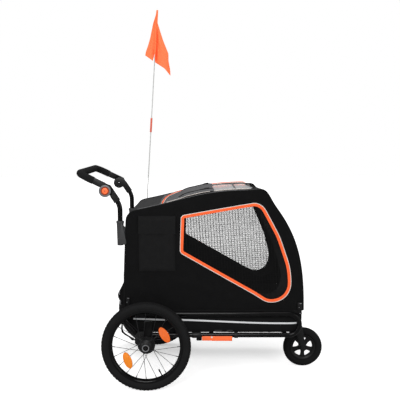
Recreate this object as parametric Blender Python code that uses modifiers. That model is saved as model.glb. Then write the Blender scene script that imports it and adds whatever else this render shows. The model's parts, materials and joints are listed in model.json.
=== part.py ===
"""Bicycle trailer with a fabric cabin, in its push-along form: two spoked wheels and a front caster."""

import math

import bmesh
import bpy
from mathutils import Matrix, Vector
from mathutils.geometry import interpolate_bezier

# Driving dimensions, in metres. X runs forward from the rear axle, Y to the left, Z up from the floor.
GAP = 0.0003
MERGE = 2e-6

# Rear wheels
TYRE_RADIUS = 0.200
TYRE_WIDTH = 0.047
RIM_RADIUS = 0.1657
RIM_DEPTH = 0.0157
RIM_WIDTH = 0.030
WHEEL_Y = 0.340
SPOKES = 20
SPOKE_RADIUS = 0.0011
SPOKE_STAGGER = 0.0020
SPOKE_ROOT = 0.003
WHEEL_FACETS = 2 * SPOKES
SPOKE_LEAD = math.radians(50)
FLANGE_RADIUS = 0.024
FLANGE_OFFSET = 0.015
FLANGE_THICKNESS = 0.003
BARREL_RADIUS = 0.014
HUB_CAP_RADIUS = 0.016
HUB_END_OFFSET = 0.032
DISC_RADIUS = 0.039
DISC_INNER_OFFSET = 0.0215
DISC_THICKNESS = 0.004
DISC_HOLES = 8
DISC_HOLE_RADIUS = 0.0045
BRAKE_PIN_RADIUS = 0.003
BRAKE_PIN_X = -0.030
BRAKE_PIN_RISE = 0.012
SPINDLE_RADIUS = 0.007
SPINDLE_CLEARANCE = 0.0004
SPINDLE_HEAD_RADIUS = 0.010
SPINDLE_HEAD_THICKNESS = 0.0032
AXLE_BUTTON_RADIUS = 0.0045
AXLE_BUTTON_LENGTH = 0.014
AXLE_BUTTON_PROUD = 0.003
AXLE_BUTTON_TRAVEL = 0.0025
VALVE_ANGLE = math.radians(298)
VALVE_RADIUS = 0.003
VALVE_LENGTH = 0.033
REFLECTOR_LENGTH = 0.077
REFLECTOR_HEIGHT = 0.036
REFLECTOR_SIDES = 28
REFLECTOR_THICKNESS = 0.007
REFLECTOR_PLACES = {
    "upper": (0.0983, math.radians(34), math.radians(-2)),
    "lower": (0.1008, math.radians(216.6), math.radians(-17)),
}

# Frame
TUBE_RADIUS = 0.011
GUARD_Y = 0.290
GUARD_LOW_Z = 0.2375
GUARD_HIGH_Z = 0.3335
GUARD_FRONT_X = 0.686
GUARD_REAR_TOP_X = -0.1294
GUARD_REAR_LOW_X = -0.0443
GUARD_REAR_TOP_BEND = 0.028
GUARD_REAR_LOW_BEND = 0.040
REAR_CROSS_X = -0.015
MIDDLE_CROSS_X = 0.290
FRONT_CROSS_X = 0.622
TUB_REAR_X = -0.107
TUB_FRONT_X = 0.697
TUB_WALL = 0.0025
TUB_TOP_Z = 0.345
TUB_CHAMFER_Z = 0.290
TUB_CHAMFER_X = -0.053
TUB_FRONT_BEND = 0.055
FLOOR_THICKNESS = 0.005
FLOOR_FRONT_X = 0.630
BRACKET_REAR_X = -0.012
BRACKET_FRONT_X = 0.026
BRACKET_TOP_Z = 0.305
BRACKET_THICKNESS = 0.0155
SOCKET_SIDE = 0.034
SOCKET_WALL = 0.003
SOCKET_Y = 0.255
SOCKET_REAR_X = 0.270
SOCKET_FRONT_X = 0.665
SOCKET_PIN_RADIUS = 0.0043
SOCKET_PIN_INSET = 0.045

# Front caster
CASTER_RADIUS = 0.095
CASTER_TYRE_WIDTH = 0.042
CASTER_AXLE_X = 0.744
CASTER_RIM_RADIUS = 0.060
CASTER_RIM_INNER = 0.048
CASTER_RIM_WIDTH = 0.030
CASTER_SPOKES = 5
CASTER_SPOKE_WIDTH = 0.013
CASTER_HUB_RADIUS = 0.014
SWIVEL_X = 0.715
SWIVEL_STEM_RADIUS = 0.011
SWIVEL_HEAD_RADIUS = 0.020
CROWN_LOW_Z = 0.197
CROWN_HIGH_Z = 0.205
HEAD_TOP_Z = 0.230
FORK_OUTER = 0.030
FORK_LEG = 0.004
FORK_TOP_WIDTH = 0.044
FORK_EYE_RADIUS = 0.012
CASTER_PIN_RADIUS = 0.005
BOOM_WIDTH = 0.034
BOOM_LOW_Z = 0.209
BOOM_REAR_X = 0.600

# Brake
PEDAL_PIVOT_X = -0.045
PEDAL_PIVOT_Z = 0.229
PEDAL_PIN_RADIUS = 0.004
PEDAL_SLEEVE_RADIUS = 0.0075
PEDAL_WIDTH = 0.060
PEDAL_REAR_X = -0.136
PEDAL_PAD_WIDTH = 0.084
PEDAL_PLATE = 0.006
EAR_THICKNESS = 0.004
UNIT_REAR_X = -0.052
UNIT_LOW_Z = 0.197
UNIT_HIGH_Z = 0.258
CABLE_RADIUS = 0.003
CABLE_ROUTE = [
    (-0.075, 0.090, 0.252),
    (-0.112, 0.150, 0.281),
    (-0.114, 0.240, 0.292),
    (-0.111, 0.291, 0.284),
    (-0.1095, 0.305, 0.2555),
    (-0.078, 0.309, 0.2355),
]
CABLE_END_Z = 0.221

# Release lever under the right rail
LEVER_REAR_X = 0.2473
LEVER_FRONT_X = 0.384
LEVER_LOW_Z = 0.2085
LEVER_HEIGHT = 0.0168
LEVER_THICKNESS = 0.015
LEVER_PIN_RADIUS = 0.003
LEVER_HEAD_RADIUS = 0.005
LEVER_HEAD = 0.0015
CATCH_LENGTH = 0.024

# Cabin
CABIN_HALF = 0.280
PANEL = 0.003
CABIN_BASE_Z = 0.3503
CABIN_REAR_X = -0.101
CABIN_LEAN_Z = 0.500
CABIN_REAR_TOP_X = -0.089
CABIN_REAR_TOP_Z = 0.7918
CABIN_REAR_BEND = 0.048
ROOF_REAR = (-0.048, 0.800)
ROOF_RISE = 0.2
ROOF_HANDLE = 0.250
ROOF_FRONT = (0.485, 0.889)
BROW = (0.507, 0.8875)
FRONT_TOP = (0.521, 0.882)
FRONT_TOP_SLOPE = math.radians(48)
FRONT_TOP_HANDLE = 0.220
FRONT_LOW_X = 0.704
FRONT_LOW_HANDLE = 0.250
CURVE_STEPS = 9
HOOP_RADIUS = 0.009
HOOP_FOOT_Z = 0.300
HOOP_FRONT_FOOT_X = 0.672
HOOP_BEND_RISE = 0.060
ROOF_BAR_RADIUS = 0.008
REAR_DOOR_HALF = 0.250
REAR_DOOR_TOP_Z = 0.735
SIDE_WINDOW = [
    (0.153, 0.7715, 0.018),
    (0.507, 0.8335, 0.055),
    (0.588, 0.6830, 0.250),
    (0.636, 0.5450, 0.250),
    (0.654, 0.3250, 0.084),
    (0.153, 0.6105, 0.018),
]
MESH_THICKNESS = 0.0016
HATCH_REAR_X = 0.060
HATCH_FRONT_X = 0.490
HATCH_HALF = 0.205
HATCH_BEND = 0.090
HATCH_FRONT_BEND = 0.020
VINYL = 0.0012
COVER_REAR_X = 0.085
COVER_FOLD_X = 0.150
COVER_FRONT_X = 0.300
COVER_THIN = 0.002
COVER_THICK = 0.011
COVER_HALF = 0.200
POCKET_REAR_X = -0.034
POCKET_FRONT_X = 0.129
POCKET_LOW_Z = 0.526
POCKET_MOUTH_Z = 0.745
POCKET_DEPTH = 0.010
POCKET_CLOTH = 0.0015
FLAP_LOW_Z = 0.695
FLAP_HIGH_Z = 0.775
FLAP_CLOTH = 0.0022
FLAP_LIP = 0.005

# Handle
HANDLE_Y = 0.270
PIVOT_X = -0.182
PIVOT_Z = 0.8865
HUB_RADIUS = 0.0274
HUB_WIDTH = 0.025
ARM_HEIGHT = 0.027
ELBOW = (0.0135, 0.0137)
HUB_ARM_END = (-0.0525, 0.0455)
GRIP_BAR = (-0.1175, 0.0767)
STEM_HOUSING_END = (0.0536, -0.0469)
HUB_SWEEP_RADIUS = 0.0343
HUB_PIN_RADIUS = 0.008
STEM_RADIUS = 0.011
STEM_X = -0.117
STEM_BEND = 0.080
BAR_RADIUS = 0.010
BAR_BEND = 0.050
BAR_INSERT = 0.018
FOAM_RADIUS = 0.0165
TILT_RING_RADIUS = 0.0162
TILT_BUTTON_RADIUS = 0.0132
TILT_BUTTON_PROUD = 0.0025
TILT_TRAVEL = 0.0022
TILT_RECESS = 0.0070
TILT_BASE = 0.0025
SOCKET_TOP_Z = 0.752
SOCKET_LOW_Z = 0.643
SOCKET_FLOOR_Z = 0.650
SOCKET_TOP_RADIUS = 0.0160
SOCKET_LOW_RADIUS = 0.0135
SOCKET_COLLAR_RADIUS = 0.0175
SOCKET_COLLAR = 0.010
SOCKET_CLEARANCE = 0.0004
LUG_LOW_Z = 0.655
LUG_HIGH_Z = 0.741
LUG_SADDLE_Z = 0.715
LUG_WIDTH = 0.019

# Flag
POLE_RADIUS = 0.0025
POLE_Y = 0.2848
POLE_FOOT = (-0.0645, 0.372)
POLE_LEAN = math.radians(3.5)
POLE_JOIN = 0.800
POLE_LENGTH = 1.391
FERRULE_RADIUS = 0.0048
FERRULE_LOW = 0.778
FERRULE_HIGH = 0.850
CAP_RADIUS = 0.0055
CAP_LENGTH = 0.010
SLEEVE_LENGTH = 0.085
SLEEVE_WIDTH = 0.016
SLEEVE_DEPTH = 0.010
PENNANT_CLOTH = 0.0015
PENNANT = [
    (-0.004, 1.376),
    (-0.017, 1.331),
    (-0.028, 1.254),
    (-0.048, 1.166),
    (-0.009, 1.142),
    (-0.005, 1.172),
    (0.001, 1.172),
    (0.004, 1.135),
    (0.054, 1.106),
    (0.086, 1.072),
    (0.072, 1.147),
    (0.070, 1.182),
    (0.039, 1.247),
    (0.005, 1.335),
    (0.003, 1.376),
]

# Places that follow from the sizes above
AXLE_Z = TYRE_RADIUS
GRIP_REACH = PIVOT_X + GRIP_BAR[0] - FOAM_RADIUS
REAR_AXLE_X = -(GRIP_REACH + CASTER_AXLE_X + CASTER_RADIUS) / 2
TUB_HALF = GUARD_Y - TUBE_RADIUS - GAP
TUB_LOW_Z = GUARD_LOW_Z + TUBE_RADIUS + GAP
INNER_HALF = CABIN_HALF - PANEL - GAP
HOOP_Y = TUB_HALF - TUB_WALL - GAP - HOOP_RADIUS
HOOP_INSET = PANEL + GAP + HOOP_RADIUS
BRACKET_Y = GUARD_Y + TUBE_RADIUS + GAP
DISC_Y = WHEEL_Y - DISC_INNER_OFFSET
HUB_END_Y = WHEEL_Y + HUB_END_OFFSET
AXLE = Vector((0, WHEEL_Y, AXLE_Z))
CASTER_AXLE = Vector((CASTER_AXLE_X, 0, CASTER_RADIUS))
LEVER_PIN = Vector((MIDDLE_CROSS_X, -(TUB_HALF - LEVER_THICKNESS / 2), LEVER_LOW_Z + LEVER_HEIGHT / 2))
BRAKE_PIN_Z = AXLE_Z + BRAKE_PIN_RISE
BRAKE_PIN_INNER_Y = BRACKET_Y + 0.001
BRAKE_PIN_OUTER_Y = BRACKET_Y + BRACKET_THICKNESS - GAP

COLOURS = {
    "frame_black": ((0.012, 0.012, 0.013), 0.35, 0.6),
    "fabric_black": ((0.012, 0.012, 0.014), 0.9, 0.0),
    "board_black": ((0.02, 0.02, 0.02), 0.7, 0.0),
    "rubber_black": ((0.014, 0.014, 0.014), 0.8, 0.0),
    "plastic_black": ((0.018, 0.018, 0.019), 0.45, 0.0),
    "plastic_grey": ((0.06, 0.06, 0.065), 0.4, 0.0),
    "plastic_orange": ((0.90, 0.19, 0.04), 0.4, 0.0),
    "silver": ((0.62, 0.62, 0.64), 0.3, 1.0),
    "foam_black": ((0.016, 0.016, 0.016), 0.95, 0.0),
    "mesh_black": ((0.03, 0.03, 0.03), 0.8, 0.0),
    "vinyl_clear": ((0.8, 0.82, 0.84), 0.1, 0.0),
    "cover_grey": ((0.10, 0.10, 0.11), 0.85, 0.0),
    "pole_white": ((0.85, 0.85, 0.83), 0.4, 0.0),
    "flag_orange": ((0.95, 0.20, 0.07), 0.7, 0.0),
}

for old in list(bpy.data.objects):
    bpy.data.objects.remove(old)
TRAILER = bpy.data.collections.new("bicycle_trailer")
bpy.context.scene.collection.children.link(TRAILER)


# Materials and placing


def material(name):
    """The named Principled material, made once."""
    if name in bpy.data.materials:
        return bpy.data.materials[name]
    colour, roughness, metallic = COLOURS[name]
    made = bpy.data.materials.new(name)
    made.use_nodes = True
    shader = made.node_tree.nodes["Principled BSDF"]
    shader.inputs["Base Color"].default_value = (*colour, 1)
    shader.inputs["Roughness"].default_value = roughness
    shader.inputs["Metallic"].default_value = metallic
    made.diffuse_color = (*colour, 1)
    return made


def empty(name, place):
    """An empty under the trailer's own, on a joint's axis."""
    made = bpy.data.objects.new(name, None)
    made.empty_display_size = 0.03
    made.location = place
    made.parent = ORIGIN
    TRAILER.objects.link(made)
    return made


ORIGIN = bpy.data.objects.new("trailer", None)
ORIGIN.location = (REAR_AXLE_X, 0, 0)
TRAILER.objects.link(ORIGIN)


def finish(obj, name, look, joint=None, smooth=True):
    """Names a piece, gives it its material and hangs it on its joint's empty or on the trailer."""
    obj.name = name
    obj.data.name = name
    obj.data.materials.clear()
    obj.data.materials.append(material(look))
    if smooth:
        obj.data.shade_smooth()
        obj.data.set_sharp_from_angle(angle=math.radians(35))
    if joint:
        obj.data.transform(Matrix.Translation(-joint.location))
    obj.parent = joint or ORIGIN
    return obj


def new_object(mesh, name="piece"):
    made = bpy.data.objects.new(name, mesh)
    TRAILER.objects.link(made)
    return made


def from_bmesh(shape):
    """A mesh object from a bmesh, with its faces turned outward."""
    bmesh.ops.recalc_face_normals(shape, faces=shape.faces[:])
    mesh = bpy.data.meshes.new("piece")
    shape.to_mesh(mesh)
    shape.free()
    return new_object(mesh)


def baked(obj):
    """The object's evaluated shape as a plain mesh at the trailer's origin, in the object's place."""
    graph = bpy.context.evaluated_depsgraph_get()
    mesh = bpy.data.meshes.new_from_object(obj.evaluated_get(graph))
    mesh.transform(obj.matrix_world)
    bpy.data.objects.remove(obj)
    shape = bmesh.new()
    shape.from_mesh(mesh)
    bpy.data.meshes.remove(mesh)
    bmesh.ops.remove_doubles(shape, verts=shape.verts[:], dist=MERGE)
    return from_bmesh(shape)


def combine(obj, other, operation):
    """Bakes one Boolean of two objects and removes the second."""
    step = obj.modifiers.new(operation.lower(), "BOOLEAN")
    step.operation = operation
    step.solver = "EXACT"
    step.object = other
    made = baked(obj)
    bpy.data.objects.remove(other)
    return made


def fused(first, *others):
    for other in others:
        first = combine(first, other, "UNION")
    return first


def cut(first, *cutters):
    for cutter in cutters:
        first = combine(first, cutter, "DIFFERENCE")
    return first


def mirrored(obj):
    """Turns a piece built on the left side into the right side's."""
    obj.data.transform(Matrix.Scale(-1, 4, (0, 1, 0)))
    obj.data.flip_normals()
    return obj


def copied(obj):
    return new_object(obj.data.copy())


def pair(obj):
    """A left piece and its right twin, by side."""
    return {"left": obj, "right": mirrored(copied(obj))}


# Shapes


def box(low, high, bevel=0.0):
    """A box between two corners, with its edges rounded if a bevel is given."""
    shape = bmesh.new()
    bmesh.ops.create_cube(shape, size=1)
    size = Vector(high) - Vector(low)
    middle = (Vector(high) + Vector(low)) / 2
    bmesh.ops.transform(shape, matrix=Matrix.LocRotScale(middle, None, size), verts=shape.verts[:])
    if bevel:
        bmesh.ops.bevel(shape, geom=shape.edges[:], offset=bevel, segments=2, profile=0.5, affect="EDGES")
    return from_bmesh(shape)


def rod(start, end, radius, sides=16, end_radius=None):
    """A round bar or cone from one point to another."""
    start, end = Vector(start), Vector(end)
    shape = bmesh.new()
    bmesh.ops.create_cone(
        shape,
        cap_ends=True,
        segments=sides,
        radius1=radius,
        radius2=radius if end_radius is None else end_radius,
        depth=(end - start).length,
    )
    turn = Vector((0, 0, 1)).rotation_difference(end - start)
    bmesh.ops.transform(shape, matrix=Matrix.LocRotScale((start + end) / 2, turn, None), verts=shape.verts[:])
    return from_bmesh(shape)


def tube(points, radius, resolution=2, closed=False):
    """A round bar along a polyline. The resolution gives four sides and two more a step."""
    curve = bpy.data.curves.new("tube", "CURVE")
    curve.dimensions = "3D"
    curve.bevel_depth = radius
    curve.bevel_resolution = resolution
    curve.use_fill_caps = True
    line = curve.splines.new("POLY")
    line.points.add(len(points) - 1)
    for knot, place in zip(line.points, points):
        knot.co = (*place, 1)
    line.use_cyclic_u = closed
    return baked(new_object(curve))


PLANES = {
    "XZ": Matrix(((1, 0, 0), (0, 0, -1), (0, 1, 0))),
    "XY": Matrix.Identity(3),
    "YZ": Matrix(((0, 0, 1), (1, 0, 0), (0, 1, 0))),
}


def plate(outline, low, high, plane="XZ", holes=()):
    """A flat outline in the named plane, as thick as low to high across it."""
    curve = bpy.data.curves.new("plate", "CURVE")
    curve.dimensions = "2D"
    curve.fill_mode = "BOTH"
    curve.extrude = (high - low) / 2
    for ring in (outline, *holes):
        line = curve.splines.new("POLY")
        line.points.add(len(ring) - 1)
        for knot, place in zip(line.points, ring):
            knot.co = (place[0], place[1], 0, 1)
        line.use_cyclic_u = True
    made = new_object(curve)
    turn = PLANES[plane]
    middle = (low + high) / 2
    across = {"XZ": (0, middle, 0), "XY": (0, 0, middle), "YZ": (middle, 0, 0)}[plane]
    made.matrix_world = Matrix.Translation(across) @ turn.to_4x4()
    bpy.context.view_layer.update()
    return baked(made)


def turned(profile, centre, sides, phase=0.0):
    """A ring or disc turned from a closed (radius, along) profile about the Y axis through the centre."""
    mesh = bpy.data.meshes.new("turned")
    rim = [(radius, 0, along) for radius, along in profile]
    mesh.from_pydata(rim, [(i, (i + 1) % len(rim)) for i in range(len(rim))], [])
    made = new_object(mesh)
    screw = made.modifiers.new("turn", "SCREW")
    screw.steps = sides
    screw.render_steps = sides
    screw.use_merge_vertices = True
    screw.merge_threshold = 0.00001
    upright = Matrix.Rotation(math.radians(-90), 4, "X") @ Matrix.Rotation(phase, 4, "Z")
    made.matrix_world = Matrix.Translation(centre) @ upright
    bpy.context.view_layer.update()
    return baked(made)


def sheet(profile, half_width, thickness, inward):
    """A curved panel: an XZ profile drawn across Y, thickened to the side that inward points to."""
    shape = bmesh.new()
    rows = [[shape.verts.new((x, y, z)) for x, z in profile] for y in (-half_width, half_width)]
    for i in range(len(profile) - 1):
        shape.faces.new((rows[0][i], rows[0][i + 1], rows[1][i + 1], rows[1][i]))
    shape.normal_update()
    first = shape.faces[:][0]
    if first.normal.dot(Vector((inward[0], 0, inward[1]))) > 0:
        bmesh.ops.reverse_faces(shape, faces=shape.faces[:])
    mesh = bpy.data.meshes.new("sheet")
    shape.to_mesh(mesh)
    shape.free()
    made = new_object(mesh)
    wall = made.modifiers.new("wall", "SOLIDIFY")
    wall.thickness = thickness
    wall.offset = -1
    wall.use_even_offset = True
    return baked(made)


# Outlines


def arc(centre, radius, start, end, steps):
    """Points on a circle from one angle to another, in radians."""
    angles = [start + (end - start) * i / steps for i in range(steps + 1)]
    return [(centre[0] + radius * math.cos(a), centre[1] + radius * math.sin(a)) for a in angles]


def circle(centre, radius, sides):
    return arc(centre, radius, 0, 2 * math.pi, sides)[:-1]


def filleted(corners, closed=True, step=math.radians(18)):
    """An outline from (x, z, bend radius) corners, each bend an arc of even steps."""
    outline = []
    count = len(corners)
    for i, (x, z, radius) in enumerate(corners):
        here = Vector((x, z))
        if not radius or (not closed and i in (0, count - 1)):
            outline.append(tuple(here))
            continue
        back = (Vector(corners[i - 1][:2]) - here).normalized()
        ahead = (Vector(corners[(i + 1) % count][:2]) - here).normalized()
        half = math.acos(max(-1.0, min(1.0, back.dot(ahead)))) / 2
        turn = math.pi - 2 * half
        centre = here + (back + ahead).normalized() * (radius / math.sin(half))
        start = here + back * (radius / math.tan(half)) - centre
        sense = 1 if back.x * ahead.y - back.y * ahead.x < 0 else -1
        steps = max(2, round(turn / step))
        for k in range(steps + 1):
            swung = Matrix.Rotation(sense * turn * k / steps, 2) @ start
            outline.append(tuple(centre + swung))
    return outline


def bezier(start, start_handle, end_handle, end, steps):
    """Points along a cubic curve in the XZ plane."""
    knots = [Vector((x, z, 0)) for x, z in (start, start_handle, end_handle, end)]
    return [(p.x, p.y) for p in interpolate_bezier(*knots, steps + 1)]


def offset(points, distance, closed=False):
    """The outline moved to its right-hand side by a distance, mitred at each point."""
    moved = []
    count = len(points)
    for i in range(count):
        here = Vector(points[i])
        back = Vector(points[i - 1]) if closed or i else None
        ahead = Vector(points[(i + 1) % count]) if closed or i < count - 1 else None
        runs = [(here - back).normalized()] if back is not None else []
        runs += [(ahead - here).normalized()] if ahead is not None else []
        normals = [Vector((run.y, -run.x)) for run in runs]
        mean = sum(normals, Vector((0, 0))) / len(normals)
        moved.append(tuple(here + mean * (distance / mean.length_squared)))
    return moved


def in_y(points, y):
    """XZ points as places in the plane at y."""
    return [(x, y, z) for x, z in points]


def route(points, spacing):
    """A smooth line through the given places, as points about a spacing apart."""
    places = [Vector(p) for p in points]
    line = [places[0]]
    for i in range(len(places) - 1):
        before = places[max(i - 1, 0)]
        after = places[min(i + 2, len(places) - 1)]
        start, end = places[i], places[i + 1]
        steps = max(2, round((end - start).length / spacing))
        out = start + (end - before) / 6
        back = end - (after - start) / 6
        line += interpolate_bezier(start, out, back, end, steps + 1)[1:]
    return line


def hull(first, first_radius, second, second_radius, steps=8):
    """The outline round two circles, as a link or an ear has."""
    first, second = Vector(first), Vector(second)
    run = second - first
    heading = math.atan2(run.y, run.x)
    open_angle = math.acos((first_radius - second_radius) / run.length)
    near = arc(first, first_radius, heading + open_angle, heading + 2 * math.pi - open_angle, steps)
    far = arc(second, second_radius, heading - open_angle, heading + open_angle, steps)
    return near + far


# Cabin outline, shared by the panels, the hoops and the doors


def rear_edge():
    """The upright rear edge and the bend into the roof."""
    corners = [
        (CABIN_REAR_X, CABIN_BASE_Z, 0),
        (CABIN_REAR_X, CABIN_LEAN_Z, 0),
        (CABIN_REAR_TOP_X, CABIN_REAR_TOP_Z, CABIN_REAR_BEND),
        (*ROOF_REAR, 0),
    ]
    return filleted(corners, closed=False, step=math.radians(16))[:-1]


def roof_line():
    start_handle = (ROOF_REAR[0] + ROOF_HANDLE, ROOF_REAR[1] + ROOF_HANDLE * ROOF_RISE)
    end_handle = (ROOF_FRONT[0] - ROOF_HANDLE, ROOF_FRONT[1])
    return bezier(ROOF_REAR, start_handle, end_handle, ROOF_FRONT, CURVE_STEPS) + [BROW]


def rear_x(z):
    """The rear edge's place along the trailer at a height below its top bend."""
    share = max(0.0, z - CABIN_LEAN_Z) / (CABIN_REAR_TOP_Z - CABIN_LEAN_Z)
    return CABIN_REAR_X + (CABIN_REAR_TOP_X - CABIN_REAR_X) * share


def front_line():
    start_handle = (
        FRONT_TOP[0] + FRONT_TOP_HANDLE * math.cos(FRONT_TOP_SLOPE),
        FRONT_TOP[1] - FRONT_TOP_HANDLE * math.sin(FRONT_TOP_SLOPE),
    )
    end = (FRONT_LOW_X, CABIN_BASE_Z)
    end_handle = (FRONT_LOW_X, CABIN_BASE_Z + FRONT_LOW_HANDLE)
    return bezier(FRONT_TOP, start_handle, end_handle, end, CURVE_STEPS)


def cabin_line():
    """The side view of the cabin from its rear foot over the roof to its front foot."""
    return rear_edge() + roof_line() + front_line()


def roof_height(x):
    """The roof's outer height at a place along the trailer."""
    line = roof_line()
    for (x0, z0), (x1, z1) in zip(line, line[1:]):
        if x0 <= x <= x1:
            return z0 + (z1 - z0) * (x - x0) / (x1 - x0)
    return line[0][1]


def hoop_line():
    """The hoop's centre line: inside the cabin outline, with its feet in the tray."""
    inner = offset(cabin_line(), HOOP_INSET)
    rear_foot = (inner[0][0], HOOP_FOOT_Z)
    front_foot = [(HOOP_FRONT_FOOT_X, TUB_TOP_Z), (HOOP_FRONT_FOOT_X, HOOP_FOOT_Z)]
    return [rear_foot] + [p for p in inner if p[1] > TUB_TOP_Z + HOOP_BEND_RISE] + front_foot


def hoop(radius):
    """A hoop of the left side, also used wider as a cutter."""
    return tube(in_y(hoop_line(), HOOP_Y), radius, resolution=2)


# Frame


def guard_line():
    bend = (GUARD_HIGH_Z - GUARD_LOW_Z) / 2
    corners = [
        (GUARD_FRONT_X, GUARD_LOW_Z, bend - GAP),
        (GUARD_FRONT_X, GUARD_HIGH_Z, bend - GAP),
        (GUARD_REAR_TOP_X, GUARD_HIGH_Z, GUARD_REAR_TOP_BEND),
        (GUARD_REAR_LOW_X, GUARD_LOW_Z, GUARD_REAR_LOW_BEND),
    ]
    return filleted(corners)


def build_guard_loops():
    loops = pair(tube(in_y(guard_line(), GUARD_Y), TUBE_RADIUS, resolution=2, closed=True))
    rear = LEVER_REAR_X - GAP - CATCH_LENGTH
    lug = box(
        (rear, -GUARD_Y - TUBE_RADIUS / 2, LEVER_LOW_Z + 0.004),
        (rear + CATCH_LENGTH, -GUARD_Y + TUBE_RADIUS + GAP / 2, GUARD_LOW_Z),
    )
    loops["right"] = fused(loops["right"], lug)
    for side, loop in loops.items():
        finish(loop, f"guard_loop_{side}", "frame_black")


def cross_tube(x):
    """A tube across the floor, coped at both ends to the guard loops."""
    reach = GUARD_Y - TUBE_RADIUS / 2
    bar = rod((x, -reach, GUARD_LOW_Z), (x, reach, GUARD_LOW_Z), TUBE_RADIUS, sides=12)
    span = 2 * TUBE_RADIUS
    for y in (-GUARD_Y, GUARD_Y):
        cope = rod((x - span, y, GUARD_LOW_Z), (x + span, y, GUARD_LOW_Z), TUBE_RADIUS + GAP, sides=20)
        bar = cut(bar, cope)
    return bar


def build_cross_tubes():
    finish(cross_tube(FRONT_CROSS_X), "cross_tube_front", "frame_black")

    lever_ear_y = LEVER_PIN.y + LEVER_THICKNESS / 2 + GAP
    ear = plate(
        hull((MIDDLE_CROSS_X, GUARD_LOW_Z), 0.009, (LEVER_PIN.x, LEVER_PIN.z), 0.007, steps=6),
        lever_ear_y,
        lever_ear_y + EAR_THICKNESS,
    )
    outer = LEVER_PIN.y - LEVER_THICKNESS / 2 - GAP
    pin = rod((LEVER_PIN.x, lever_ear_y + EAR_THICKNESS / 2, LEVER_PIN.z), (LEVER_PIN.x, outer, LEVER_PIN.z),
              LEVER_PIN_RADIUS, sides=12)
    head = rod((LEVER_PIN.x, outer, LEVER_PIN.z), (LEVER_PIN.x, outer - LEVER_HEAD, LEVER_PIN.z),
               LEVER_HEAD_RADIUS, sides=12)
    finish(fused(cross_tube(MIDDLE_CROSS_X), ear, fused(pin, head)), "cross_tube_middle", "frame_black")

    rear = cross_tube(REAR_CROSS_X)
    inner = PEDAL_WIDTH / 2 + GAP
    top = (REAR_CROSS_X, GUARD_LOW_Z - 0.001)
    outline = hull(top, 0.0095, (PEDAL_PIVOT_X, PEDAL_PIVOT_Z), 0.007, steps=6)
    for side in (-1, 1):
        low, high = sorted((side * inner, side * (inner + EAR_THICKNESS)))
        rear = fused(rear, plate(outline, low, high))
    reach = inner + EAR_THICKNESS / 2
    pin = rod((PEDAL_PIVOT_X, -reach, PEDAL_PIVOT_Z), (PEDAL_PIVOT_X, reach, PEDAL_PIVOT_Z), PEDAL_PIN_RADIUS,
              sides=12)
    finish(fused(rear, pin), "cross_tube_rear", "frame_black")


def tub_outline():
    """The tray's side view: a cut rear corner and a round front one."""
    return filleted([
        (TUB_REAR_X, TUB_TOP_Z, 0),
        (TUB_REAR_X, TUB_CHAMFER_Z, 0),
        (TUB_CHAMFER_X, TUB_LOW_Z, 0),
        (TUB_FRONT_X, TUB_LOW_Z, TUB_FRONT_BEND),
        (TUB_FRONT_X, TUB_TOP_Z, 0),
    ])


def build_tray():
    outer = tub_outline()
    inner = offset(outer, -TUB_WALL, closed=True)
    inner[0] = (inner[0][0], TUB_TOP_Z + TUB_WALL)
    inner[-1] = (inner[-1][0], TUB_TOP_Z + TUB_WALL)
    tub = plate(outer, -TUB_HALF, TUB_HALF)
    hollow = plate(inner, -TUB_HALF + TUB_WALL, TUB_HALF - TUB_WALL)
    finish(cut(tub, hollow), "lower_tub", "fabric_black", smooth=False)

    half = TUB_HALF - TUB_WALL - GAP
    low = TUB_LOW_Z + TUB_WALL + GAP
    floor = box((TUB_CHAMFER_X + 0.006, -half, low), (FLOOR_FRONT_X, half, low + FLOOR_THICKNESS))
    finish(floor, "floor_panel", "board_black", smooth=False)


def build_axle_brackets(joints):
    """The post outside the loop, with the spindle that the wheel turns on and its release button."""
    outer = BRACKET_Y + BRACKET_THICKNESS
    foot_radius = -BRACKET_REAR_X
    post = filleted([
        (BRACKET_REAR_X, BRACKET_TOP_Z, 0.006),
        (BRACKET_REAR_X, AXLE_Z - foot_radius, foot_radius * 0.9),
        (foot_radius, AXLE_Z - foot_radius, foot_radius * 0.6),
        (BRACKET_FRONT_X, AXLE_Z + foot_radius, 0.010),
        (BRACKET_FRONT_X, BRACKET_TOP_Z, 0.006),
    ], step=math.radians(30))
    bracket = plate(post, BRACKET_Y, outer)
    head_inner = HUB_END_Y - 0.001 - SPINDLE_HEAD_THICKNESS
    spindle = fused(
        rod((0, outer - 0.004, AXLE_Z), (0, head_inner + 0.001, AXLE_Z), SPINDLE_RADIUS, sides=16),
        rod((0, head_inner, AXLE_Z), (0, HUB_END_Y - 0.001, AXLE_Z), SPINDLE_HEAD_RADIUS, sides=16),
    )
    bracket = fused(bracket, spindle)
    button_outer = HUB_END_Y - 0.001 + AXLE_BUTTON_PROUD
    button_inner = button_outer - AXLE_BUTTON_LENGTH
    bore = rod((0, button_inner - AXLE_BUTTON_TRAVEL - GAP, AXLE_Z), (0, button_outer, AXLE_Z),
               AXLE_BUTTON_RADIUS + GAP, sides=12)
    for side, made in pair(cut(bracket, bore)).items():
        finish(made, f"axle_bracket_{side}", "frame_black")
    button = fused(
        rod((0, button_inner, AXLE_Z), (0, button_outer - 0.001, AXLE_Z), AXLE_BUTTON_RADIUS, sides=12),
        rod((0, button_outer - 0.001, AXLE_Z), (0, button_outer, AXLE_Z), AXLE_BUTTON_RADIUS, sides=12,
            end_radius=AXLE_BUTTON_RADIUS - 0.001),
    )
    for side, made in pair(button).items():
        finish(made, f"axle_button_{side}", "plastic_black", joints[f"wheel_{side}"])


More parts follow.
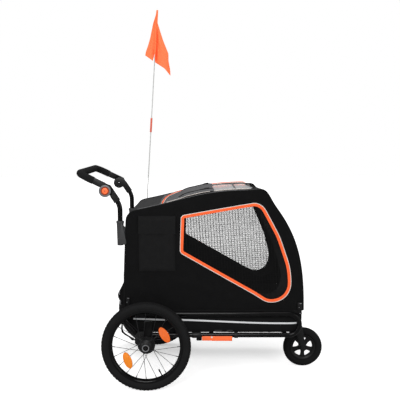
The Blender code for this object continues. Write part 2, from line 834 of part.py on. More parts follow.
def build_drawbar_socket():
    """The square receiver under the left side, open at the front, with its pin hole."""
    top = GUARD_LOW_Z - TUBE_RADIUS - GAP
    low = top - SOCKET_SIDE
    inner_y = SOCKET_Y - SOCKET_SIDE / 2
    outer_y = SOCKET_Y + SOCKET_SIDE / 2
    socket = box((SOCKET_REAR_X, inner_y, low), (SOCKET_FRONT_X, outer_y, top))
    hollow = box(
        (SOCKET_REAR_X + SOCKET_WALL, inner_y + SOCKET_WALL, low + SOCKET_WALL),
        (SOCKET_FRONT_X + SOCKET_WALL, outer_y - SOCKET_WALL, top - SOCKET_WALL),
    )
    pin_x = SOCKET_FRONT_X - SOCKET_PIN_INSET
    middle_z = (low + top) / 2
    hole = rod((pin_x, inner_y - SOCKET_WALL, middle_z), (pin_x, outer_y + SOCKET_WALL, middle_z),
               SOCKET_PIN_RADIUS, sides=12)
    finish(cut(socket, hollow, hole), "drawbar_socket", "frame_black")


def build_release_lever(joints):
    low_y = LEVER_PIN.y - LEVER_THICKNESS / 2
    high_z = LEVER_LOW_Z + LEVER_HEIGHT
    bend = LEVER_HEIGHT * 0.42
    outline = filleted([
        (LEVER_REAR_X, LEVER_LOW_Z, bend),
        (LEVER_FRONT_X, LEVER_LOW_Z, bend),
        (LEVER_FRONT_X, high_z, bend),
        (LEVER_REAR_X, high_z, bend),
    ], step=math.radians(30))
    eye = circle((LEVER_PIN.x, LEVER_PIN.z), LEVER_PIN_RADIUS + GAP, 12)
    lever = plate(outline, low_y, low_y + LEVER_THICKNESS, holes=[eye])
    finish(lever, "release_lever", "plastic_orange", joints["lever"])


# Rear wheels


def rim():
    half = RIM_WIDTH / 2
    inner = RIM_RADIUS - RIM_DEPTH
    profile = [
        (inner, -half * 0.55),
        (inner, half * 0.55),
        (inner + RIM_DEPTH * 0.5, half),
        (RIM_RADIUS, half),
        (RIM_RADIUS, -half),
        (inner + RIM_DEPTH * 0.5, -half),
    ]
    return turned(profile, AXLE, WHEEL_FACETS, phase=math.pi / WHEEL_FACETS)


def hub():
    """Brake disc, two spoke flanges, barrel and outer cap, bored for the spindle."""
    bore = SPINDLE_RADIUS + SPINDLE_CLEARANCE
    recess = SPINDLE_HEAD_RADIUS + SPINDLE_CLEARANCE
    seat = HUB_END_OFFSET - 0.001 - SPINDLE_HEAD_THICKNESS - GAP
    disc_low = -DISC_INNER_OFFSET
    disc_high = disc_low + DISC_THICKNESS
    half = FLANGE_THICKNESS / 2
    profile = [
        (bore, disc_low),
        (DISC_RADIUS, disc_low),
        (DISC_RADIUS, disc_high),
        (FLANGE_RADIUS, disc_high),
        (FLANGE_RADIUS, -FLANGE_OFFSET + half),
        (BARREL_RADIUS, -FLANGE_OFFSET + 2 * half),
        (BARREL_RADIUS, FLANGE_OFFSET - 2 * half),
        (FLANGE_RADIUS, FLANGE_OFFSET - half),
        (FLANGE_RADIUS, FLANGE_OFFSET + half),
        (HUB_CAP_RADIUS, FLANGE_OFFSET + 2 * half),
        (HUB_CAP_RADIUS, HUB_END_OFFSET - 0.0015),
        (HUB_CAP_RADIUS - 0.0015, HUB_END_OFFSET),
        (recess, HUB_END_OFFSET),
        (recess, seat),
        (bore, seat),
    ]
    made = turned(profile, AXLE, 18)
    reach = math.hypot(BRAKE_PIN_X, BRAKE_PIN_RISE)
    first = math.atan2(BRAKE_PIN_RISE, BRAKE_PIN_X)
    for i in range(DISC_HOLES):
        angle = first + 2 * math.pi * i / DISC_HOLES
        x, z = reach * math.cos(angle), AXLE_Z + reach * math.sin(angle)
        through = DISC_Y + DISC_THICKNESS + 0.001
        drill = rod((x, DISC_Y - 0.001, z), (x, through, z), DISC_HOLE_RADIUS, sides=6)
        made = cut(made, drill)
    return made


def spoke_angle(index):
    return math.radians(270) + 2 * math.pi * index / SPOKES


def spoke_ends(index):
    """Both ends of a spoke, from its flange to the rim, leaning ahead or behind in turn."""
    angle = spoke_angle(index)
    sense = 1 if index // 2 % 2 else -1
    flange = (FLANGE_OFFSET if index % 2 else -FLANGE_OFFSET) + sense * SPOKE_STAGGER
    lead = SPOKE_LEAD * sense
    inner = FLANGE_RADIUS - SPOKE_ROOT
    outer = RIM_RADIUS - RIM_DEPTH + SPOKE_ROOT
    start = AXLE + Vector((inner * math.cos(angle + lead), flange, inner * math.sin(angle + lead)))
    end = AXLE + Vector((outer * math.cos(angle), 0, outer * math.sin(angle)))
    return start, end


def build_rear_wheels(joints):
    wheel = hub()
    for index in range(SPOKES):
        wheel = fused(wheel, rod(*spoke_ends(index), SPOKE_RADIUS, sides=4))
    direction = Vector((math.cos(VALVE_ANGLE), 0, math.sin(VALVE_ANGLE)))
    inner = RIM_RADIUS - RIM_DEPTH
    valve = rod(AXLE + direction * (inner + 0.004), AXLE + direction * (inner + 0.002 - VALVE_LENGTH),
                VALVE_RADIUS, sides=8)
    wheel = fused(wheel, fused(rim(), valve))
    for side, made in pair(wheel).items():
        finish(made, f"wheel_rear_{side}", "silver", joints[f"wheel_{side}"])

    half = TYRE_WIDTH / 2
    bead = RIM_RADIUS + GAP
    depth = TYRE_RADIUS - bead
    flank = [(0, 0.56), (0.22, 0.90), (0.50, 1.0), (0.88, 0.62)]
    upper = [(bead + depth * d, half * w) for d, w in flank]
    lower = [(r, -w) for r, w in reversed(upper)]
    tyre = turned(upper + [(TYRE_RADIUS, 0)] + lower, AXLE, WHEEL_FACETS, phase=math.pi / WHEEL_FACETS)
    for side, made in pair(tyre).items():
        finish(made, f"tyre_rear_{side}", "rubber_black", joints[f"wheel_{side}"])


def build_reflectors(joints):
    """Two oval reflectors on each rear wheel, each lying flat against the outer spoke nearest to it."""
    for name, (radius, angle, tilt) in REFLECTOR_PLACES.items():
        oval = []
        for i in range(REFLECTOR_SIDES):
            turn = 2 * math.pi * i / REFLECTOR_SIDES
            spot = Vector((REFLECTOR_LENGTH / 2 * math.cos(turn), REFLECTOR_HEIGHT / 2 * math.sin(turn)))
            oval.append(Matrix.Rotation(tilt, 2) @ spot)
        index = min(range(1, SPOKES, 2),
                    key=lambda i: abs(math.remainder(spoke_angle(i) - angle, 2 * math.pi)))
        start, end = spoke_ends(index)
        along = Vector((-math.sin(angle), 0, math.cos(angle)))
        outward = along.cross(end - start).normalized()
        if outward.y < 0:
            outward.negate()
        place = AXLE + Vector((math.cos(angle), 0, math.sin(angle))) * radius
        seat = start + outward * (SPOKE_RADIUS + GAP)
        place.y += outward.dot(seat - place) / outward.y
        made = plate(oval, 0, REFLECTOR_THICKNESS)
        frame = Matrix((along, outward, along.cross(outward))).transposed()
        made.data.transform(Matrix.Translation(place) @ frame.to_4x4())
        for side, one in pair(made).items():
            finish(one, f"reflector_{side}_{name}", "plastic_orange", joints[f"wheel_{side}"])


# Front caster


def build_caster(joints):
    boom_top = HEAD_TOP_Z
    arm = box((BOOM_REAR_X, -BOOM_WIDTH / 2, BOOM_LOW_Z), (SWIVEL_X, BOOM_WIDTH / 2, boom_top))
    head = rod((SWIVEL_X, 0, CROWN_HIGH_Z + GAP), (SWIVEL_X, 0, boom_top), SWIVEL_HEAD_RADIUS, sides=24)
    bore = rod((SWIVEL_X, 0, CROWN_HIGH_Z - GAP), (SWIVEL_X, 0, boom_top - 0.004),
               SWIVEL_STEM_RADIUS + SPINDLE_CLEARANCE, sides=20)
    seat = rod((FRONT_CROSS_X, -BOOM_WIDTH, GUARD_LOW_Z), (FRONT_CROSS_X, BOOM_WIDTH, GUARD_LOW_Z),
               TUBE_RADIUS + GAP, sides=20)
    finish(cut(fused(arm, head), bore, seat), "caster_boom", "frame_black")

    stem = rod((SWIVEL_X, 0, CROWN_HIGH_Z - 0.002), (SWIVEL_X, 0, boom_top - 0.004 - GAP), SWIVEL_STEM_RADIUS,
               sides=20)
    front = SWIVEL_X - 0.020 + FORK_TOP_WIDTH
    rear = SWIVEL_X - 0.020
    crown = box((rear, -FORK_OUTER, CROWN_LOW_Z), (front, FORK_OUTER, CROWN_HIGH_Z), bevel=0.002)
    axle = CASTER_AXLE
    leg = filleted([
        (rear + 0.001, CROWN_HIGH_Z - 0.003, 0),
        (axle.x - FORK_EYE_RADIUS, axle.z + 0.006, 0.010),
        (axle.x - FORK_EYE_RADIUS + 0.004, axle.z - FORK_EYE_RADIUS, 0.008),
        (axle.x + FORK_EYE_RADIUS - 0.004, axle.z - FORK_EYE_RADIUS, 0.008),
        (axle.x + FORK_EYE_RADIUS, axle.z + 0.006, 0.010),
        (front - 0.001, CROWN_HIGH_Z - 0.003, 0),
    ], step=math.radians(30))
    fork = fused(stem, crown)
    for low, high in ((-FORK_OUTER, -FORK_OUTER + FORK_LEG), (FORK_OUTER - FORK_LEG, FORK_OUTER)):
        fork = fused(fork, plate(leg, low, high))
    reach = FORK_OUTER + 0.004
    pin = rod((axle.x, -reach, axle.z), (axle.x, reach, axle.z), CASTER_PIN_RADIUS, sides=16)
    finish(fused(fork, pin), "caster_fork", "plastic_black", joints["swivel"])

    bore = CASTER_PIN_RADIUS + SPINDLE_CLEARANCE
    hub_half = FORK_OUTER - FORK_LEG - 0.0008
    rim_half = CASTER_RIM_WIDTH / 2
    barrel = [
        (bore, -hub_half), (CASTER_HUB_RADIUS, -hub_half),
        (CASTER_HUB_RADIUS, hub_half), (bore, hub_half),
    ]
    wheel = turned(barrel, axle, 20)
    ring = turned(
        [
            (CASTER_RIM_INNER, -rim_half * 0.7),
            (CASTER_RIM_RADIUS, -rim_half),
            (CASTER_RIM_RADIUS, rim_half),
            (CASTER_RIM_INNER, rim_half * 0.7),
        ],
        axle,
        32,
    )
    half = CASTER_SPOKE_WIDTH / 2
    for index in range(CASTER_SPOKES):
        turn = math.radians(270) + 2 * math.pi * index / CASTER_SPOKES
        heading = Vector((math.cos(turn), math.sin(turn)))
        side = Vector((-heading.y, heading.x))
        centre = Vector((axle.x, axle.z))
        inner = CASTER_HUB_RADIUS - 0.004
        outer = CASTER_RIM_INNER + 0.003
        corners = [(inner, -half * 0.8), (outer, -half), (outer, half), (inner, half * 0.8)]
        outline = [tuple(centre + heading * r + side * s) for r, s in corners]
        wheel = fused(wheel, plate(outline, -rim_half * 0.6, rim_half * 0.6))
    finish(fused(wheel, ring), "front_wheel_hub", "plastic_black", joints["caster_wheel"])

    width = CASTER_TYRE_WIDTH / 2
    bead = CASTER_RIM_RADIUS + GAP
    depth = CASTER_RADIUS - bead
    flank = [(0, 0.66), (0.28, 0.96), (0.60, 1.0), (0.92, 0.55)]
    upper = [(bead + depth * d, width * w) for d, w in flank]
    lower = [(r, -w) for r, w in reversed(upper)]
    tyre = turned(upper + [(CASTER_RADIUS, 0)] + lower, axle, 32)
    finish(tyre, "front_tyre", "rubber_black", joints["caster_wheel"])


# Brake


def build_brake(joints):
    half = PEDAL_WIDTH / 2
    sleeve = rod((PEDAL_PIVOT_X, -half, PEDAL_PIVOT_Z), (PEDAL_PIVOT_X, half, PEDAL_PIVOT_Z),
                 PEDAL_SLEEVE_RADIUS, sides=16)
    arm_low = PEDAL_PIVOT_Z - PEDAL_PLATE / 2
    arm_top = arm_low + PEDAL_PLATE
    arm = box((PEDAL_REAR_X + 0.012, -half * 0.6, arm_low), (PEDAL_PIVOT_X, half * 0.6, arm_top))
    pad_half = PEDAL_PAD_WIDTH / 2
    pad = box((PEDAL_REAR_X, -pad_half, arm_low - 0.001), (PEDAL_REAR_X + 0.030, pad_half, arm_top + 0.001),
              bevel=0.002)
    bore = rod((PEDAL_PIVOT_X, -half - 0.001, PEDAL_PIVOT_Z), (PEDAL_PIVOT_X, half + 0.001, PEDAL_PIVOT_Z),
               PEDAL_PIN_RADIUS + GAP, sides=16)
    finish(cut(fused(sleeve, arm, pad), bore), "brake_pedal", "plastic_orange", joints["pedal"])

    unit_front = BRACKET_REAR_X - GAP
    outer = BRACKET_Y + BRACKET_THICKNESS
    body = plate(filleted([
        (UNIT_REAR_X, UNIT_LOW_Z + 0.010, 0.006),
        (UNIT_REAR_X + 0.010, UNIT_LOW_Z, 0.006),
        (unit_front, UNIT_LOW_Z, 0.003),
        (unit_front, UNIT_HIGH_Z, 0.003),
        (UNIT_REAR_X + 0.014, UNIT_HIGH_Z, 0.008),
        (UNIT_REAR_X, UNIT_HIGH_Z - 0.022, 0.006),
    ], step=math.radians(30)), BRACKET_Y, outer)
    inner = BRAKE_PIN_INNER_Y - GAP
    channel = rod((BRAKE_PIN_X, inner, BRAKE_PIN_Z), (BRAKE_PIN_X, outer + 0.001, BRAKE_PIN_Z),
                  BRAKE_PIN_RADIUS + GAP, sides=12)
    for side, made in pair(cut(body, channel)).items():
        finish(made, f"brake_unit_{side}", "plastic_black")
    pin = rod((BRAKE_PIN_X, BRAKE_PIN_INNER_Y, BRAKE_PIN_Z), (BRAKE_PIN_X, BRAKE_PIN_OUTER_Y, BRAKE_PIN_Z),
              BRAKE_PIN_RADIUS, sides=12)
    for side, made in pair(pin).items():
        finish(made, f"brake_pin_{side}", "silver", joints[f"brake_pin_{side}"])

    ear_face = PEDAL_WIDTH / 2 + GAP + EAR_THICKNESS + GAP
    start = Vector((PEDAL_PIVOT_X + 0.012, ear_face, PEDAL_PIVOT_Z + 0.003))
    end = Vector((UNIT_REAR_X - GAP, BRACKET_Y + BRACKET_THICKNESS / 2, CABLE_END_Z))
    leaving = start + Vector((0, 4 * CABLE_RADIUS, 0))
    arriving = end - Vector((4 * CABLE_RADIUS, 0, 0))
    line = [start, *route([leaving, *CABLE_ROUTE, arriving], 7 * CABLE_RADIUS), end]
    for side, made in pair(tube(line, CABLE_RADIUS, resolution=2)).items():
        finish(made, f"brake_cable_{side}", "rubber_black")


# Cabin


def build_hoops():
    for side, made in pair(hoop(HOOP_RADIUS)).items():
        finish(made, f"side_hoop_{side}", "frame_black")
    line = hoop_line()
    corner = len(rear_edge())
    places = {"rear": line[corner - 2], "front": line[corner + CURVE_STEPS]}
    for name, (x, z) in places.items():
        bar = rod((x, -HOOP_Y, z), (x, HOOP_Y, z), ROOF_BAR_RADIUS, sides=12)
        near = mirrored(hoop(HOOP_RADIUS + GAP))
        bar = cut(bar, hoop(HOOP_RADIUS + GAP), near)
        finish(bar, f"roof_bar_{name}", "frame_black")


def pole_point(across, along):
    """A place on the leaning flag pole's own plane, as X and Z."""
    x = POLE_FOOT[0] + across * math.cos(POLE_LEAN) + along * math.sin(POLE_LEAN)
    z = POLE_FOOT[1] - across * math.sin(POLE_LEAN) + along * math.cos(POLE_LEAN)
    return x, z


def build_sides():
    """The two side panels with their window openings, the left one with the flag's sleeve."""
    window = filleted(SIDE_WINDOW, step=math.radians(16))
    inner = CABIN_HALF - PANEL
    panel = plate(cabin_line(), inner, CABIN_HALF, holes=[window])
    sides = pair(panel)
    half = SLEEVE_WIDTH / 2
    low = -0.020
    corners = [(-half, low), (half, low), (half, SLEEVE_LENGTH), (-half, SLEEVE_LENGTH)]
    sleeve = plate([pole_point(*c) for c in corners], CABIN_HALF - PANEL / 2, CABIN_HALF + SLEEVE_DEPTH)
    sides["left"] = fused(sides["left"], sleeve)
    foot, top = pole_point(0, -GAP), pole_point(0, SLEEVE_LENGTH + 0.01)
    channel = rod((foot[0], POLE_Y, foot[1]), (top[0], POLE_Y, top[1]), POLE_RADIUS + GAP, sides=12)
    sides["left"] = cut(sides["left"], channel)
    for side, made in sides.items():
        finish(made, f"cabin_side_{side}", "fabric_black", smooth=False)
    middle = CABIN_HALF - PANEL / 2
    pane = plate(offset(window, GAP, closed=True), middle - MESH_THICKNESS / 2, middle + MESH_THICKNESS / 2)
    for side, made in pair(pane).items():
        finish(made, f"window_mesh_{side}", "mesh_black", smooth=False)


def hatch_outline(margin):
    """The roof opening in plan, drawn in by a margin: round at the rear."""
    half = HATCH_HALF - margin
    rear = HATCH_REAR_X + margin
    front = HATCH_FRONT_X - margin
    bend = HATCH_BEND - margin
    return filleted([
        (rear, -half, bend),
        (rear, half, bend),
        (front, half, HATCH_FRONT_BEND),
        (front, -half, HATCH_FRONT_BEND),
    ])


def build_roof():
    rear = [p for p in rear_edge() if p[1] > REAR_DOOR_TOP_Z]
    profile = [(rear_x(REAR_DOOR_TOP_Z), REAR_DOOR_TOP_Z + GAP)] + rear + roof_line()
    roof = sheet(profile, INNER_HALF, PANEL, (1, 0))
    opening = plate(hatch_outline(0), 0.5, 1.0, plane="XY")
    finish(cut(roof, opening), "cabin_roof", "fabric_black", smooth=False)

    middle = offset(roof_line(), (PANEL - VINYL) / 2)
    pane = sheet(middle, INNER_HALF, VINYL, (0, -1))
    trim = plate(hatch_outline(GAP), 0.5, 1.0, plane="XY")
    finish(combine(pane, trim, "INTERSECT"), "roof_window", "vinyl_clear", smooth=False)

    between = 0.5 * (COVER_FOLD_X + COVER_FRONT_X)
    stations = [COVER_REAR_X, COVER_FOLD_X - 0.004, COVER_FOLD_X, between, COVER_FRONT_X]
    heights = [COVER_THIN, COVER_THIN, COVER_THICK, COVER_THICK, COVER_THICK]
    below = [(x, roof_height(x) + 2 * GAP) for x in stations]
    above = [(x, z + rise) for (x, z), rise in zip(below, heights)]
    cover = plate(below + above[::-1], -COVER_HALF, COVER_HALF)
    finish(cover, "roof_cover_folded", "cover_grey", smooth=False)


def build_doors(joints):
    front = sheet(front_line(), INNER_HALF, PANEL, (-1, 0))
    finish(front, "front_door", "fabric_black", joints["front_door"], smooth=False)
    heights = (CABIN_BASE_Z, CABIN_LEAN_Z, REAR_DOOR_TOP_Z)
    profile = [(rear_x(z), z) for z in heights]
    rear = sheet(profile, REAR_DOOR_HALF, PANEL, (1, 0))
    finish(rear, "rear_door", "fabric_black", joints["rear_door"], smooth=False)


def build_pocket(joints):
    """A flat pocket on the right side, open at its mouth, under a flap that hangs from its top edge."""
    back = -CABIN_HALF - GAP
    face = back - POCKET_DEPTH
    shell = box((POCKET_REAR_X, face, POCKET_LOW_Z), (POCKET_FRONT_X, back, POCKET_MOUTH_Z))
    hollow = box(
        (POCKET_REAR_X + POCKET_CLOTH, face + POCKET_CLOTH, POCKET_LOW_Z + POCKET_CLOTH),
        (POCKET_FRONT_X - POCKET_CLOTH, back - POCKET_CLOTH, POCKET_MOUTH_Z + POCKET_CLOTH),
    )
    finish(cut(shell, hollow), "side_pocket", "fabric_black", smooth=False)
    outer = face - GAP - FLAP_CLOTH
    flap = plate(
        [
            (back, FLAP_HIGH_Z),
            (outer, FLAP_HIGH_Z),
            (outer, FLAP_LOW_Z),
            (outer + FLAP_CLOTH, FLAP_LOW_Z),
            (outer + FLAP_CLOTH, FLAP_HIGH_Z - FLAP_LIP),
            (back, FLAP_HIGH_Z - FLAP_LIP),
        ],
        POCKET_REAR_X,
        POCKET_FRONT_X,
        plane="YZ",
    )
    finish(flap, "pocket_flap", "fabric_black", joints["flap"], smooth=False)


# Handle


def arm_outline(start, end, half):
    """A straight bar's side view, from one pivot-based point to another."""
    start, end = Vector(start), Vector(end)
    run = (end - start).normalized()
    side = Vector((-run.y, run.x)) * half
    base = Vector((PIVOT_X, PIVOT_Z))
    return [tuple(base + p) for p in (start - side, end - side, end + side, start + side)]


def housing(end, cut_low, cut_high):
    """One half of the tilting joint: a disc and an arm, cut away where the other half turns."""
    half = HUB_WIDTH / 2
    low, high = HANDLE_Y - half, HANDLE_Y + half
    disc = rod((PIVOT_X, low, PIVOT_Z), (PIVOT_X, high, PIVOT_Z), HUB_RADIUS, sides=28)
    arm = plate(arm_outline(ELBOW, end, ARM_HEIGHT / 2), low, high)
    elbow = Vector((PIVOT_X + ELBOW[0], PIVOT_Z + ELBOW[1]))
    knee = rod((elbow.x, low, elbow.y), (elbow.x, high, elbow.y), ARM_HEIGHT / 2, sides=20)
    sweep = rod((PIVOT_X, cut_low, PIVOT_Z), (PIVOT_X, cut_high, PIVOT_Z), HUB_SWEEP_RADIUS, sides=28)
    return cut(fused(disc, arm, knee), sweep)


def along_arm(end, distance):
    """A pivot-based point short of an arm's end by a distance, in place on the left side."""
    run = (Vector(end) - Vector(ELBOW)).normalized()
    spot = Vector(end) - run * distance
    return Vector((PIVOT_X + spot.x, HANDLE_Y, PIVOT_Z + spot.y))


def bar_line(inset):
    """The U of the handlebar, from a distance inside one hub arm's end round the back bar to the other."""
    start = along_arm(HUB_ARM_END, inset)
    corner = Vector((PIVOT_X + GRIP_BAR[0], 0, PIVOT_Z + GRIP_BAR[1]))
    run = corner - Vector((start.x, 0, start.z))
    reach = run.length
    bends = [(reach, HANDLE_Y, BAR_BEND), (reach, -HANDLE_Y, BAR_BEND)]
    flat = filleted([(0, HANDLE_Y, 0), *bends, (0, -HANDLE_Y, 0)],
                    closed=False)
    unit = run.normalized()
    return [(start.x + unit.x * a, y, start.z + unit.z * a) for a, y in flat]


def build_handle(joints):
    half = HUB_WIDTH / 2
    middle = HANDLE_Y
    outer_face = HANDLE_Y + half
    beyond = 0.002
    upper = housing(HUB_ARM_END, middle - half - beyond, middle + GAP / 2)
    recess = rod((PIVOT_X, outer_face - TILT_RECESS, PIVOT_Z), (PIVOT_X, outer_face + beyond, PIVOT_Z),
                 TILT_RING_RADIUS + GAP, sides=24)
    eye_radius = HUB_PIN_RADIUS + SPINDLE_CLEARANCE
    eye = rod((PIVOT_X, middle - beyond, PIVOT_Z), (PIVOT_X, outer_face, PIVOT_Z), eye_radius,
              sides=20)
    bore = rod(along_arm(HUB_ARM_END, BAR_INSERT), along_arm(HUB_ARM_END, -beyond), BAR_RADIUS + GAP,
               sides=16)
    for side, made in pair(cut(upper, recess, eye, bore)).items():
        finish(made, f"hinge_hub_{side}", "plastic_grey", joints["tilt"])

    button_low = outer_face - TILT_RECESS + TILT_TRAVEL + GAP
    button_high = outer_face + TILT_BUTTON_PROUD
    flange = rod((PIVOT_X, button_low, PIVOT_Z), (PIVOT_X, button_low + TILT_BASE, PIVOT_Z), TILT_RING_RADIUS,
                 sides=20)
    foot = button_low + TILT_BASE / 2
    face = rod((PIVOT_X, foot, PIVOT_Z), (PIVOT_X, button_high, PIVOT_Z), TILT_BUTTON_RADIUS,
               sides=20)
    for side, made in pair(fused(flange, face)).items():
        finish(made, f"tilt_button_{side}", "plastic_orange", joints["tilt"])

    lower = housing(STEM_HOUSING_END, middle - GAP / 2, middle + half + beyond)
    pin_end = outer_face - TILT_RECESS - GAP
    pin = rod((PIVOT_X, middle - half * 0.5, PIVOT_Z), (PIVOT_X, pin_end, PIVOT_Z), HUB_PIN_RADIUS, sides=20)
    run = Vector(STEM_HOUSING_END) - Vector(ELBOW)
    slope = run.y / run.x
    knee_z = PIVOT_Z + ELBOW[1] + (STEM_X - PIVOT_X - ELBOW[0]) * slope
    start = along_arm(STEM_HOUSING_END, 0.015)
    line = filleted([(start.x, start.z, 0), (STEM_X, knee_z, STEM_BEND), (STEM_X, SOCKET_FLOOR_Z + GAP, 0)],
                    closed=False, step=math.radians(9))
    stem = tube(in_y(line, HANDLE_Y), STEM_RADIUS, resolution=3)
    for side, made in pair(fused(lower, pin, stem)).items():
        finish(made, f"handle_stem_{side}", "frame_black", joints["stem"])

    bar = tube(bar_line(BAR_INSERT - GAP), BAR_RADIUS, resolution=3)
    finish(bar, "handlebar_tube", "frame_black", joints["tilt"])
    core = tube(bar_line(0), BAR_RADIUS + GAP, resolution=3)
    foam = cut(tube(bar_line(-GAP), FOAM_RADIUS, resolution=3), core)
    finish(foam, "foam_grip", "foam_black", joints["tilt"])


def build_handle_sockets():
    """Tapered sleeves behind the cabin, each clamped round its hoop by a saddle."""
    place = (STEM_X, HANDLE_Y)
    body = rod((*place, SOCKET_LOW_Z), (*place, SOCKET_TOP_Z - SOCKET_COLLAR / 2), SOCKET_LOW_RADIUS,
               sides=24,
               end_radius=SOCKET_TOP_RADIUS)
    collar = rod((*place, SOCKET_TOP_Z - SOCKET_COLLAR), (*place, SOCKET_TOP_Z), SOCKET_COLLAR_RADIUS,
                 sides=24)
    saddle_front = rear_x((LUG_LOW_Z + LUG_SADDLE_Z) / 2) + HOOP_INSET - HOOP_RADIUS / 2
    wedge = [
        (STEM_X, LUG_LOW_Z), (saddle_front, LUG_LOW_Z),
        (saddle_front, LUG_SADDLE_Z), (STEM_X, LUG_HIGH_Z),
    ]
    lug = plate(wedge, HOOP_Y - LUG_WIDTH / 2, HOOP_Y + LUG_WIDTH / 2)
    bore = rod((*place, SOCKET_FLOOR_Z), (*place, SOCKET_TOP_Z + 0.002), STEM_RADIUS + SOCKET_CLEARANCE,
               sides=20)
    made = cut(fused(body, collar, lug), hoop(HOOP_RADIUS + GAP), bore)
    for side, one in pair(made).items():
        finish(one, f"handle_socket_{side}", "plastic_black")


# Flag


def pole_rod(low, high, radius, sides=10, end_radius=None):
    start, end = pole_point(0, low), pole_point(0, high)
    return rod((start[0], POLE_Y, start[1]), (end[0], POLE_Y, end[1]), radius, sides, end_radius)


def build_flag():
    lower = fused(
        pole_rod(0, POLE_JOIN, POLE_RADIUS),
        pole_rod(FERRULE_LOW, FERRULE_HIGH, FERRULE_RADIUS, sides=12),
    )
    lower = cut(lower, pole_rod(POLE_JOIN, FERRULE_HIGH + 0.002, POLE_RADIUS + GAP))
    finish(lower, "flag_pole_lower", "pole_white")
    upper = fused(
        pole_rod(POLE_JOIN + GAP, POLE_LENGTH, POLE_RADIUS),
        pole_rod(POLE_LENGTH - CAP_LENGTH * 0.5, POLE_LENGTH + CAP_LENGTH * 0.5, CAP_RADIUS,
                 end_radius=CAP_RADIUS * 0.6),
    )
    finish(upper, "flag_pole_upper", "pole_white")
    outer = POLE_Y - POLE_RADIUS - GAP
    pennant = plate([pole_point(u, s) for u, s in PENNANT], outer - PENNANT_CLOTH, outer)
    finish(pennant, "flag_pennant", "flag_orange", smooth=False)


def joint_empties():
    """One empty on each joint's axis."""
    places = {
        "wheel_left": (0, WHEEL_Y, AXLE_Z),
        "wheel_right": (0, -WHEEL_Y, AXLE_Z),
        "swivel": (SWIVEL_X, 0, CROWN_HIGH_Z),
        "caster_wheel": CASTER_AXLE,
        "stem": (STEM_X, 0, SOCKET_TOP_Z),
        "tilt": (PIVOT_X, 0, PIVOT_Z),
        "pedal": (PEDAL_PIVOT_X, 0, PEDAL_PIVOT_Z),
        "brake_pin_left": (BRAKE_PIN_X, BRAKE_PIN_OUTER_Y, BRAKE_PIN_Z),
        "brake_pin_right": (BRAKE_PIN_X, -BRAKE_PIN_OUTER_Y, BRAKE_PIN_Z),
        "lever": LEVER_PIN,
        "front_door": (FRONT_TOP[0], 0, FRONT_TOP[1]),
        "rear_door": (rear_x(REAR_DOOR_TOP_Z), 0, REAR_DOOR_TOP_Z),
        "flap": ((POCKET_REAR_X + POCKET_FRONT_X) / 2, -CABIN_HALF - GAP, FLAP_HIGH_Z),
    }
    return {name: empty(f"{name}_joint", place) for name, place in places.items()}


def main():
    joints = joint_empties()
    build_guard_loops()
    build_cross_tubes()
    build_tray()
    build_axle_brackets(joints)
    build_drawbar_socket()
    build_release_lever(joints)
    build_rear_wheels(joints)
    build_reflectors(joints)
    build_caster(joints)
    build_brake(joints)
    build_hoops()
    build_sides()
    build_roof()
    build_doors(joints)
    build_pocket(joints)
    build_handle(joints)
    build_handle_sockets()
    build_flag()


main()
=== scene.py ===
"""Bicycle trailer for a dog: cloth, tapes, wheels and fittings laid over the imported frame, and the studio."""

import json
import math
from contextlib import contextmanager

import bmesh
import bpy
from mathutils import Matrix, Vector, kdtree, noise
from mathutils.geometry import delaunay_2d_cdt


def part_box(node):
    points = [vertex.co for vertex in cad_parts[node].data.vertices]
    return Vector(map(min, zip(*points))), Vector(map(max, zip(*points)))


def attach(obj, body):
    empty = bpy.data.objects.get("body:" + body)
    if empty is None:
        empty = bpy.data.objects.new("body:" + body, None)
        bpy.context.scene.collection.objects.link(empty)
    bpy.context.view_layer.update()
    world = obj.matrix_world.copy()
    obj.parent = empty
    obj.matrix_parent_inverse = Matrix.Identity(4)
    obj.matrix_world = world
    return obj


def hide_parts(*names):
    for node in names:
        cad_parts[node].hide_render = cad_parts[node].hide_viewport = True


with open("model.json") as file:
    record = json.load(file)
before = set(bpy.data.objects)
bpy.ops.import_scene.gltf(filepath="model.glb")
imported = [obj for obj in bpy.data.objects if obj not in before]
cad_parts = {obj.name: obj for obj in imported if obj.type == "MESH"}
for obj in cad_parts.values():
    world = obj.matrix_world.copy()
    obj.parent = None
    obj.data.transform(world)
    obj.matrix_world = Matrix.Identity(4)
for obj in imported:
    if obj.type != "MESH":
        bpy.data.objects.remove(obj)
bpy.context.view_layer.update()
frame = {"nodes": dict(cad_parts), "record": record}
NODES = frame["nodes"]

# Places taken from the frame. X is given from the rear axle below and moved by AXLE_X when a piece is placed.
TYRE_LOW, TYRE_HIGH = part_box("tyre_rear_right")
AXLE_X = (TYRE_LOW.x + TYRE_HIGH.x) / 2
AXLE_Z = (TYRE_LOW.z + TYRE_HIGH.z) / 2
WHEEL_Y = -(TYRE_LOW.y + TYRE_HIGH.y) / 2
FRONT_LOW, FRONT_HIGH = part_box("front_tyre")
FRONT_HUB = (FRONT_LOW + FRONT_HIGH) / 2
BODY_OF = {}
for body_name, names in frame["record"]["behaviour"]["bodies"].items():
    for node_name in names:
        BODY_OF[node_name] = body_name
CABIN_Y = 0.280
SIDES = {"right": -1, "left": 1}

# Camera of the photograph
LENS = 62.4
CAMERA_PLACE = (AXLE_X + 0.239, -3.340, 1.133)
CAMERA_PITCH = math.radians(5.35)


# Meshes


def linked(name, data):
    """A new object in the scene from its mesh, lamp or camera."""
    made = bpy.data.objects.new(name, data)
    bpy.context.scene.collection.objects.link(made)
    return made


@contextmanager
def reshaped(mesh):
    """A mesh's editable shape, written back to the mesh at the end."""
    shape = bmesh.new()
    shape.from_mesh(mesh)
    yield shape
    shape.to_mesh(mesh)
    shape.free()


